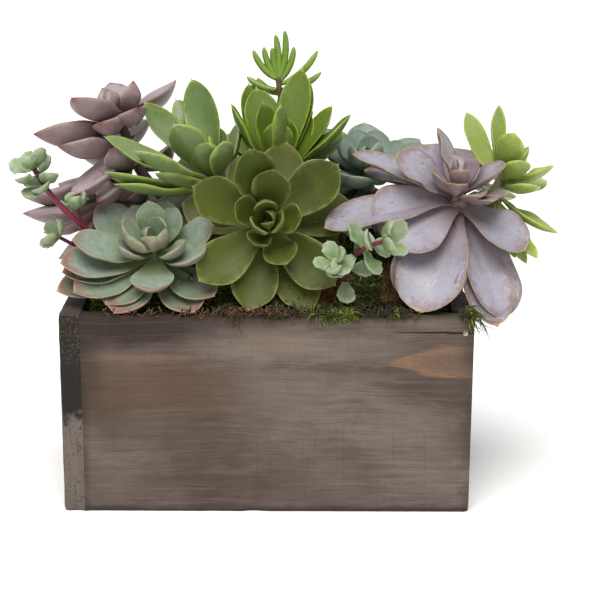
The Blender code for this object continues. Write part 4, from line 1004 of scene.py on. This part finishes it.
# noises of the wood: how tight along the board, through it and up; detail; roughness
woodNoises = {
    "fibres": ((38, 1500, 1500), 4, 0.7),
    "streaks": ((11, 330, 330), 5, 0.65),
    "lines": ((7, 820, 820), 2, 0.5),
    "clouds": ((9, 17, 17), 5, 0.62),
    "blotches": ((26, 44, 44), 4, 0.6),
    "sawn": ((760, 14, 14), 3, 0.6),
    "dirt": ((60, 240, 240), 5, 0.7),
    "hairs": ((60, 900, 60), 4, 0.65),
}
woodCoats = (
    ("mid", ("clouds", 0.36, 0.60)),
    ("light", ("clouds", 0.52, 0.74, 0, 0.8)),
    ("fibre", ("blotches", 0.52, 0.72, 0, 0.5)),
    ("light", ("streaks", 0.50, 0.70, 0, 0.35)),
    ("dark", ("streaks", 0.47, 0.30, 0, 0.4)),
    ("fibre", "rings", 0.22),
    ("dark", ("fibres", 0.52, 0.72, 0, 0.55)),
    ("light", ("fibres", 0.46, 0.28, 0, 0.4)),
    ("dark", ("dirt", 0.50, 0.68, 0, 0.35)),
    ("light", ("dirt", 0.48, 0.28, 0, 0.30)),
)
# saw marks, then grime along the lower and upper edges
lastCoats = (
    ("dark", ("sawn", 0.54, 0.70, 0, 0.26)),
    ("grime", ("lowEdge", 0.002, -0.002, 0, 0.85)),
    ("grime", ("tall", 0.124, 0.1272, 0, 0.65)),
)
# end grain: mottled and pitted at the top, black below that, and paler from the middle down
endCoats = (
    ("endDark", ("endLine", 0.058, 0.066)),
    ("endGreen", ("tall", 0.03, 0.005, 0, 0.3)),
    ("endSpeck", ("endLine", 0.092, 0.104), ("pits", 0.52, 0.62, 0, 0.8)),
    ("crack", ("pits", 0.46, 0.34, 0, 0.7)),
    ("endDark", ("hairs", 0.50, 0.72, 0, 0.55)),
)

# soft patches of the front board: middle x and height, half width and half height in millimetres,
# colour and how strongly it covers
frontPatches = (
    (6, 109, 60, 13, "pale", 0.5),
    (56, 107, 40, 12, "light", 0.5),
    (16, 76, 52, 22, "light", 0.5),
    (86, 56, 40, 20, "light", 0.45),
    (100, 18, 34, 18, "light", 0.25),
    (0, 24, 80, 22, "dark", 0.25),
    (-70, 82, 60, 25, "brown", 0.7),
    (-76, 50, 50, 18, "dark", 0.25),
    (-100, 22, 26, 20, "light", 0.2),
    (-80, 101, 36, 4, "knot", 0.45),
    (-86, 119, 76, 18, "grime", 0.96),
    (-36, 125, 60, 6, "grime", 0.7),
    (-84, 118, 50, 11, "grime", 0.8),
    (-112, 90, 14, 36, "grime", 0.5),
)
# the paler flame of a knot at the right, pointed on its left; then fine lines over it
flameCoats = (
    ("knotLine", ("bands", 0.4, 2.2, 0, 0.6)),
    ("fibre", ("fromMiddle", 0.8, 0.15, 0, 0.6), ("across", 0.084, 0.104)),
)
knotCoats = (
    ("flame", ("pastFlame", 0, -0.003), ("across", 0.06, 0.08),
     ("across", 0.127, 0.108, 0.35, 0.9)),
    ("mid", ("lines", 0.56, 0.72, 0, 0.28)),
    ("dark", ("fibres", 0.52, 0.72, 0, 0.4)),
)
# the split that runs from the upper nail
splitRamps = (("pastSplit", 0.0002, -0.0001), ("across", 0.072, 0.082))
# half heights of the flame and the split along the board, and dirt beside its ends
frontRamps = {
    "flameHalf": ("across", 0.062, 0.112, 0.0008, 0.0115),
    "splitHalf": ("across", 0.07, 0.118, 0.0001, 0.0006),
    "dirtRight": ("across", 0.117, 0.127, 0, 0.5),
    "dirtLeft": ("across", -0.108, -0.114, 0, 0.6),
    "dirtBlots": ("blotches", 0.3, 0.6),
}
# heights of the flame and the split in metres, how far each wanders, the slant and pitch of the
# flame's bands, and how ragged clouds and dirt make the edges of the patches
frontRules = {
    "flame": 0.0985, "flameWander": 0.012, "split": 0.1172, "splitWander": 0.008,
    "slant": 0.20, "pitch": 2600, "streaky": 2.0, "clouds": 0.7, "dirt": 1.0,
}
# where the pith lies below and behind the board in metres, how far the rings bend and how close
# they are, how far the grain sways, and how ragged the low edge and the end's dark part are
woodRules = {
    "below": 0.05, "behind": 0.02, "bend": 0.05, "pitch": 1300, "sway": 0.016,
    "lowRagged": -0.006, "endRagged": 0.025, "fibreHeight": -0.6, "streakHeight": 0.5,
}


def sawBoard(name, low, high):
    bpy.ops.mesh.primitive_cube_add(size=1, location=(low + high) / 2)
    made = bpy.context.object
    made.name = name
    made.scale = high - low
    bpy.ops.object.transform_apply(location=True, rotation=True, scale=True)
    bpy.ops.object.mode_set(mode="EDIT")
    bpy.ops.mesh.select_mode(type="EDGE")
    for axis in range(3):
        bpy.ops.mesh.select_all(action="DESELECT")
        shape = bmesh.from_edit_mesh(made.data)
        for edge in shape.edges:
            run = edge.verts[1].co - edge.verts[0].co
            edge.select_set(abs(run[axis]) > 0.99 * run.length)
        bmesh.update_edit_mesh(made.data)
        cuts = int((high - low)[axis] / (boardWear["cell"] * mm))
        bpy.ops.mesh.subdivide(number_cuts=max(cuts, 1))
    bpy.ops.object.mode_set(mode="OBJECT")
    return made


def wearBoard(made, low, high, seed, wear=boardWear):
    points = meshPoints(made.data)
    centre = (low + high) / 2
    inset = np.minimum(points - low, high - points)
    worn = np.zeros_like(points)
    for index, point in enumerate(points):
        near = np.sort(inset[index])
        fromSeam = abs(point[0] - wear["seamX"] * mm)
        onSeam = point[1] < wear["seamY"] * mm and fromSeam < wear["seamWide"] * mm
        if near[1] > wear["reach"] * mm or onSeam:
            continue
        rough = noise.noise(Vector(point) * 160 + Vector((seed, 0, 0)))
        chip = max(0, noise.noise(Vector(point) * 55 + Vector((0, seed, 0))) - 0.25)
        edge = max(0, 1 - near[1] / (wear["edge"] * mm))
        corner = max(0, 1 - near[2] / (wear["corner"] * mm))
        amount = (wear["least"] + wear["rough"] * rough + wear["chip"] * chip) * mm * edge**2
        amount += wear["cornerDepth"] * mm * corner**2
        toCentre = np.where(inset[index] < wear["inset"] * mm, np.sign(centre - point), 0)
        worn[index] = toCentre * amount
    movePoints(made.data, points + worn)
    made.data.update()


def paintFront(colour, look, fields, rules=frontRules):
    across, tall = fields["across"], fields["tall"]
    streaks, clouds = fields["streaks"], fields["clouds"]
    ramps = {key: maskOf(fields, [row]) for key, row in frontRamps.items()}
    ragged = plus(swing(clouds, rules["clouds"]), swing(fields["dirt"], rules["dirt"]))
    for middle, level, wide, high, tone, cover in frontPatches:
        off = over(minus(across, middle * mm), wide * mm)
        rise = over(minus(tall, level * mm), high * mm)
        patch = stretch(plus(distance(off, rise), ragged), 1.3, 0.2, 0, cover)
        colour = mixOf(patch, colour, look[tone])
    off = plus(minus(tall, rules["flame"]), swing(streaks, rules["flameWander"]))
    off = mathOf("ABSOLUTE", off)
    bands = mathOf("SINE", times(minus(times(across, rules["slant"]), off), rules["pitch"]))
    line = plus(rules["split"], swing(clouds, rules["splitWander"]))
    gap = mathOf("ABSOLUTE", minus(tall, line))
    fields = fields | {
        "bands": plus(bands, times(streaks, rules["streaky"])),
        "fromMiddle": over(off, ramps["flameHalf"]),
        "pastFlame": minus(off, ramps["flameHalf"]),
        "pastSplit": minus(gap, ramps["splitHalf"]),
    }
    flame = paint(look["knot"], look, fields, flameCoats)
    colour = paint(colour, look | {"flame": flame}, fields, knotCoats)
    split = maskOf(fields, splitRamps)
    colour = mixOf(split, colour, look["crack"])
    dirty = mathOf("MAXIMUM", ramps["dirtRight"], ramps["dirtLeft"])
    return mixOf(times(dirty, ramps["dirtBlots"]), colour, look["grime"]), split


def woodMaterial(name, grain, shift, look, front=False, rules=woodRules):
    material, tree = newMaterial(name)
    turn = (0, 0, -math.pi / 2) if grain == "y" else (0, 0, 0)
    own = objectPlace(tree, turn=turn)
    place = objectPlace(tree, shift, turn)
    across, deep, tall = addNode(tree, "ShaderNodeSeparateXYZ", {0: own}).outputs

    # growth rings about a pith below the board: faint lines on the faces, arcs on the ends
    bend = swing(noiseOf(scaled(place, (4, 9, 9)), 1, 2), rules["bend"])
    radius = distance(plus(tall, rules["below"], bend), plus(deep, rules["behind"]))
    rings = stretch(mathOf("SINE", times(radius, rules["pitch"])), 0.2, 1)

    # the grain wanders a little up and down along the board
    sway = swing(noiseOf(scaled(place, (7, 12, 12)), 1, 3, 0.5), rules["sway"])
    swayed = addNode(tree, "ShaderNodeCombineXYZ", {"Z": sway}).outputs[0]
    moved = addNode(tree, "ShaderNodeVectorMath", {0: place, 1: swayed}, operation="ADD")
    place = moved.outputs[0]
    fields = {"across": across, "tall": tall, "rings": rings}
    for key, (tight, *row) in woodNoises.items():
        fields[key] = noiseOf(scaled(place, tight), 1, *row)
    fields |= {
        "pits": noiseOf(place, 620, 4, 0.7),
        "lowEdge": plus(tall, times(fields["blotches"], rules["lowRagged"])),
        "endLine": plus(tall, swing(noiseOf(place, 110, 4, 0.6), rules["endRagged"])),
    }
    colour = paint(look["dark"], look, fields, woodCoats)
    height = times(fields["fibres"], rules["fibreHeight"])
    height = plus(height, times(fields["streaks"], rules["streakHeight"]))
    if front:
        colour, split = paintFront(colour, look, fields)
        height = minus(height, split)
    colour = paint(colour, look, fields, lastCoats)
    end = paint(look["endLight"], look, fields, endCoats)
    facing = addNode(tree, "ShaderNodeTexCoord").outputs["Normal"]
    facing = addNode(tree, "ShaderNodeSeparateXYZ", {0: facing}).outputs[0 if grain == "x" else 1]
    rough = look["roughness"]
    finishShader(tree, {
        "Base Color": mixOf(stretch(mathOf("ABSOLUTE", facing), 0.6, 0.8), colour, end),
        "Roughness": stretch(fields["streaks"], 0.3, 0.7, rough + 0.08, rough - 0.08),
        "Specular IOR Level": 0.3,
        "Normal": bumpOf(fields["pits"], 0.0006, 0.35, bumpOf(height, 0.0007, 0.8)),
    })
    return material


for seed, (name, (node, low, high, grain, shift)) in enumerate(boards.items()):
    low, high = np.array(low) * mm, np.array(high) * mm
    board = sawBoard(name, low, high)
    wearBoard(board, low, high, 3.1 * seed + 1.3)
    coat(board, woodMaterial(name + "Wood", grain, shift, boardLook, name == "frontBoard"))
    select([board])
    bpy.ops.object.shade_smooth_by_angle(angle=math.radians(40))
    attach(board, "root")
    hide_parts(node)
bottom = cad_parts["board_bottom"]
bottom.material_slots[0].material = woodMaterial("bottomBoardWood", "x", bottomShift, boardLook)
print("boards sawn and worn")


# the high nails are dulled, the others brown with rust
nailLook = {
    "steel": (0.62, 0.60, 0.57), "rust": (0.085, 0.058, 0.044),
    "noises": {"spots": (1300, 4, 0.7)},
    "base": "steel",
    "coats": (("rust", ("spots", 0.4385, 0.5785)),),
    "shader": {"Roughness": ("spots", 0.4, 0.65, 0.35, 0.8), "Metallic": 0.9},
    "bump": ("spots", 0.0002, 0.6),
}
rustyLook = nailLook | {
    "coats": (("rust", ("spots", 0.02, 0.16)),),
    "shader": nailLook["shader"] | {"Metallic": 0.0},
}
linerLook = {
    "plastic": (0.02, 0.02, 0.02), "dusty": (0.09, 0.075, 0.06),
    "noises": {"dust": (120, 4, 0.6)},
    "base": "plastic",
    "coats": (("dusty", ("dust", 0.45, 0.7, 0, 0.5)),),
    "shader": {"Roughness": ("dust", 0.4, 0.7, 0.4, 0.75)},
    "bump": ("dust", 0.0002, 0.5),
}
soilLook = {
    "wet": (0.018, 0.011, 0.007), "dry": (0.07, 0.045, 0.028), "grit": (0.25, 0.22, 0.18),
    "noises": {"crumbs": (380, 5, 0.7)},
    "cells": {"bits": 420},
    "base": "wet",
    "coats": (("dry", ("crumbs", 0.35, 0.65)), ("grit", ("bits", 0.14, 0.06, 0, 0.7))),
    "shader": {"Roughness": 0.95},
    "bump": ("crumbs", 0.002, 1.0),
}

# millimetres, but for "pointWide"; the head is domed in two steps, "bevel" and "dome" wide, and
# the shank ends in a point
nailSizes = {
    "sides": 20, "headRadius": 1.6, "headDepth": 0.8, "shankRadius": 0.8, "length": 30,
    "proud": 0.3, "bevel": 0.35, "dome": 0.6, "taper": 2, "point": 1.6, "pointWide": 0.12,
}
# where each side's column of nails is, and which way they face
nailColumns = {
    "front": ((121.5, -63.5), (0, -1, 0)),
    "right": ((127, 58), (1, 0, 0)),
    "back": ((-121.5, 63.5), (0, 1, 0)),
    "left": ((-127, -58), (-1, 0, 0)),
}
nailLevels = {"low": 13, "middle": 64, "high": 117}


def selectFacing(mesh, way):
    bpy.ops.mesh.select_all(action="DESELECT")
    for face in bmesh.from_edit_mesh(mesh).faces:
        face.select_set(face.normal.z * way > 0.9)
    bmesh.update_edit_mesh(mesh)


def extrude(depth):
    bpy.ops.mesh.extrude_region_move(TRANSFORM_OT_translate={"value": (0, 0, -depth * mm)})


def modelNail(sizes):
    head, deep = sizes["headRadius"] * mm, sizes["headDepth"] * mm
    bpy.ops.mesh.primitive_cylinder_add(
        vertices=sizes["sides"], radius=head, depth=deep, location=(0, 0, -deep / 2)
    )
    nail = bpy.context.object
    bpy.ops.object.transform_apply(location=True, rotation=True, scale=True)
    bpy.ops.object.mode_set(mode="EDIT")
    bpy.ops.mesh.select_mode(type="FACE")
    selectFacing(nail.data, -1)
    bpy.ops.mesh.inset(thickness=head * (1 - sizes["shankRadius"] / sizes["headRadius"]))
    extrude(sizes["length"] - sizes["headDepth"] - sizes["taper"])
    extrude(sizes["point"])
    bpy.ops.transform.resize(value=(sizes["pointWide"], sizes["pointWide"], 1))
    selectFacing(nail.data, 1)
    for thickness, share in ((sizes["bevel"], 0.7), (sizes["dome"], 0.3)):
        bpy.ops.mesh.inset(thickness=thickness * mm)
        bpy.ops.transform.translate(value=(0, 0, sizes["proud"] * mm * share))
    bpy.ops.object.mode_set(mode="OBJECT")
    bpy.ops.object.shade_smooth_by_angle(angle=math.radians(50))
    return nail


steel = plainMaterial("nailSteel", nailLook)
stained = plainMaterial("nailStained", rustyLook)
pattern = modelNail(nailSizes)
pattern.name = "nailPattern"
for side, ((x, y), way) in nailColumns.items():
    for level, height in nailLevels.items():
        nail = linkObject(f"{side}Nail{level.capitalize()}", pattern.data.copy())
        turned = Vector((0, 0, 1)).rotation_difference(Vector(way)).to_matrix().to_4x4()
        turned.translation = Vector((x, y, height)) * mm
        nail.data.transform(turned)
        coat(nail, steel if level == "high" else stained)
        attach(nail, "root")
        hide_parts(f"nail_{side}_{level}")
bpy.data.objects.remove(pattern, do_unlink=True)
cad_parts["liner_tray"].material_slots[0].material = plainMaterial("linerPlastic", linerLook)
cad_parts["soil"].material_slots[0].material = plainMaterial("pottingSoil", soilLook)
print("nails, liner and soil finished")


mossLook = {
    "green": (0.042, 0.066, 0.002), "bright": (0.34, 0.44, 0.018), "brown": (0.078, 0.034, 0.009),
    "dark": (0.010, 0.007, 0.002), "wisp": (0.24, 0.115, 0.035),
    "noises": {"clumps": (60, 4, 0.6), "fine": (900, 3, 0.6)},
    "attributes": ("tint",),
    "base": "brown",
    "coats": (
        ("green", ("tint", 0.3, 0.55)),
        ("bright", ("tint", 0.7, 0.95)),
        ("wisp", ("tint", 0.2, 0.0)),
        ("dark", ("clumps", 0.58, 0.38, 0, 0.7)),
        ("dark", ("fine", 0.4, 0.7, 0, 0.4)),
    ),
    "shader": {"Roughness": 0.75, "Sheen Weight": 0.1, "Specular IOR Level": 0.25},
    "bump": ("fine", 0.0006, 0.9),
}
# millimetres, but for the counts and for "swerve", "lift" and "droop", which turn a strand
mossSettings = {
    "columns": 150, "rows": 66, "halfX": 112.2, "halfY": 48.7, "depth": 8,
    "above": 8.3, "waves": 2.2, "tuft": 1.2, "strands": 4200, "length": (6, 14),
    "radius": (0.35, 0.75), "swerve": 0.55, "lift": 0.9, "droop": 0.22, "rooted": 1.5,
}
# where moss hangs over the rim: x, how wide, how many, greenness, how far down and aside
rimTufts = (
    (48, 7, 80, 0.98, 9, 0),
    (36, 14, 60, 0.75, 8, 0),
    (-22, 4, 9, 0.05, 17, 0),
    (10, 18, 50, 0.25, 5, 0),
    (-14, 22, 40, 0.10, 6, 0),
    (80, 12, 50, 0.5, 6, 0),
    (125, 1.5, 50, 0.6, 18, 7),
    (60, 20, 40, 0.3, 4, 0),
    (-60, 40, 30, 0.1, 3, 0),
)
# where a hanging strand starts, bends over the rim and hangs before the board
rimSettings = {
    "radius": (0.3, 0.75), "mostX": 125, "startY": (-53, -44), "startZ": 127, "overY": -60.5,
    "overZ": 128.5, "outY": -64.3, "middleZ": 129.5,
}


def mossTop(x, y, settings=mossSettings):
    tufts = noise.noise(Vector((x, y, 0)) * 95)
    wisps = noise.noise(Vector((y, x, 0.3)) * 210)
    return moundHeight(x, y) + (settings["above"] + settings["waves"] * (tufts + 0.6 * wisps)) * mm


def layMoss(settings):
    bpy.ops.mesh.primitive_grid_add(
        x_subdivisions=settings["columns"], y_subdivisions=settings["rows"], size=2
    )
    bed = bpy.context.object
    bed.name = "mossBed"
    points = meshPoints(bed.data)
    points[:, 0] *= settings["halfX"] * mm
    points[:, 1] *= settings["halfY"] * mm
    for point in points:
        spot = Vector((point[0], point[1], 0))
        tuft = noise.noise(spot * 330) + 0.5 * noise.noise(spot * 700)
        point[2] = mossTop(point[0], point[1]) + (tuft * settings["tuft"] - 0.8) * mm
    movePoints(bed.data, points)
    select([bed])
    bpy.ops.object.mode_set(mode="EDIT")
    bpy.ops.mesh.select_all(action="SELECT")
    extrude(settings["depth"])
    bpy.ops.mesh.select_all(action="SELECT")
    bpy.ops.mesh.normals_make_consistent(inside=False)
    bpy.ops.object.mode_set(mode="OBJECT")
    bpy.ops.object.shade_smooth()
    return bed


def strandMesh(strands):
    corners = np.array([(math.cos(a), math.sin(a)) for a in (0.3, 2.394, 4.489)])
    points, faces, values = [], [], []
    for path, radius, tint in strands:
        start = len(points)
        rings = len(path) - 1
        for index, at in enumerate(path[:-1]):
            run = (path[index + 1] - at).normalized()
            side = run.orthogonal().normalized()
            other = run.cross(side)
            thin = radius * (1 - 0.75 * index / len(path))
            points += [at + (side * u + other * v) * thin for u, v in corners]
        points.append(path[-1])
        values += [tint] * (3 * rings + 1)
        faces.append((start + 2, start + 1, start))
        for ring in range(rings - 1):
            for side in range(3):
                a = start + 3 * ring + side
                b = start + 3 * ring + (side + 1) % 3
                faces.append((a, b, b + 3, a + 3))
        last = start + 3 * (rings - 1)
        faces += [(last + side, last + (side + 1) % 3, last + 3) for side in range(3)]
    mesh = bpy.data.meshes.new("mossStrands")
    mesh.from_pydata([tuple(point) for point in points], [], faces)
    storeValues(mesh, "tint", values)
    made = linkObject("mossStrands", mesh)
    select([made])
    bpy.ops.object.shade_smooth()
    return made


def strandPath(root, heading, length, settings, steps=5):
    path = [root]
    way = Vector((math.cos(heading), math.sin(heading), settings["lift"])).normalized()
    for _ in range(steps):
        swerve = Vector(random.normal(0, settings["swerve"], 3))
        way = (way + swerve + Vector((0, 0, -settings["droop"]))).normalized()
        path.append(path[-1] + way * length / steps)
    return path


def tintOf(middle, spread):
    return float(np.clip(middle + random.normal(0, spread), 0, 1))


def scatterStrands(settings):
    strands = []
    for _ in range(settings["strands"]):
        x = random.uniform(-1, 1) * settings["halfX"] * mm
        y = (random.random() ** 1.5 * 2 - 1) * settings["halfY"] * mm
        length = random.uniform(*settings["length"]) * mm
        root = Vector((x, y, mossTop(x, y) - settings["rooted"] * mm))
        path = strandPath(root, random.uniform(0, 2 * math.pi), length, settings)
        for at in path[1:]:
            at.z = max(at.z, mossTop(at.x, at.y) - 0.5 * mm)
        radius = random.uniform(*settings["radius"]) * mm
        strands.append((path, radius, tintOf(0.45 + 1.3 * noise.noise(root * 45), 0.28)))
    return strands


def hangStrands(tufts, rim):
    strands = []
    for centre, wide, count, green, drop, aside in tufts:
        for _ in range(count):
            x = min(centre + random.normal(0, 0.5) * wide, rim["mostX"])
            y = random.uniform(*rim["startY"])
            start = Vector((x, y, rim["startZ"] + random.uniform(0, 3)))
            x += random.normal(0, 3)
            over = Vector((x, rim["overY"], rim["overZ"] + random.uniform(0, 2.5)))
            down = random.uniform(0.0, 1) ** 1.5 * drop
            out = rim["outY"] - random.uniform(0.2, 3)
            end = Vector((x + random.normal(0, 5) + aside, out, rim["overZ"] - down))
            middle = Vector((x, (out + over.y) / 2 - 1, rim["middleZ"] - 0.25 * down))
            path = smoothPath((start, over, middle, end), 2)
            path = [(at + Vector(random.normal(0, 0.9, 3))) * mm for at in path]
            strands.append((path, random.uniform(*rim["radius"]) * mm, tintOf(green, 0.2)))
    return strands


bed = layMoss(mossSettings)
bedTint = [0.5 + 1.1 * noise.noise(vert.co * 45) for vert in bed.data.vertices]
storeValues(bed.data, "tint", np.clip(np.array(bedTint, np.float32) * 0.8, 0, 0.8))
strands = strandMesh(scatterStrands(mossSettings))
hanging = strandMesh(hangStrands(rimTufts, rimSettings))
moss = joinAll([bed, strands, hanging], "mossCover")
coat(moss, plainMaterial("mossFibre", mossLook))
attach(moss, "root")
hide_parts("moss")
print("moss laid with", len(moss.data.polygons), "faces")
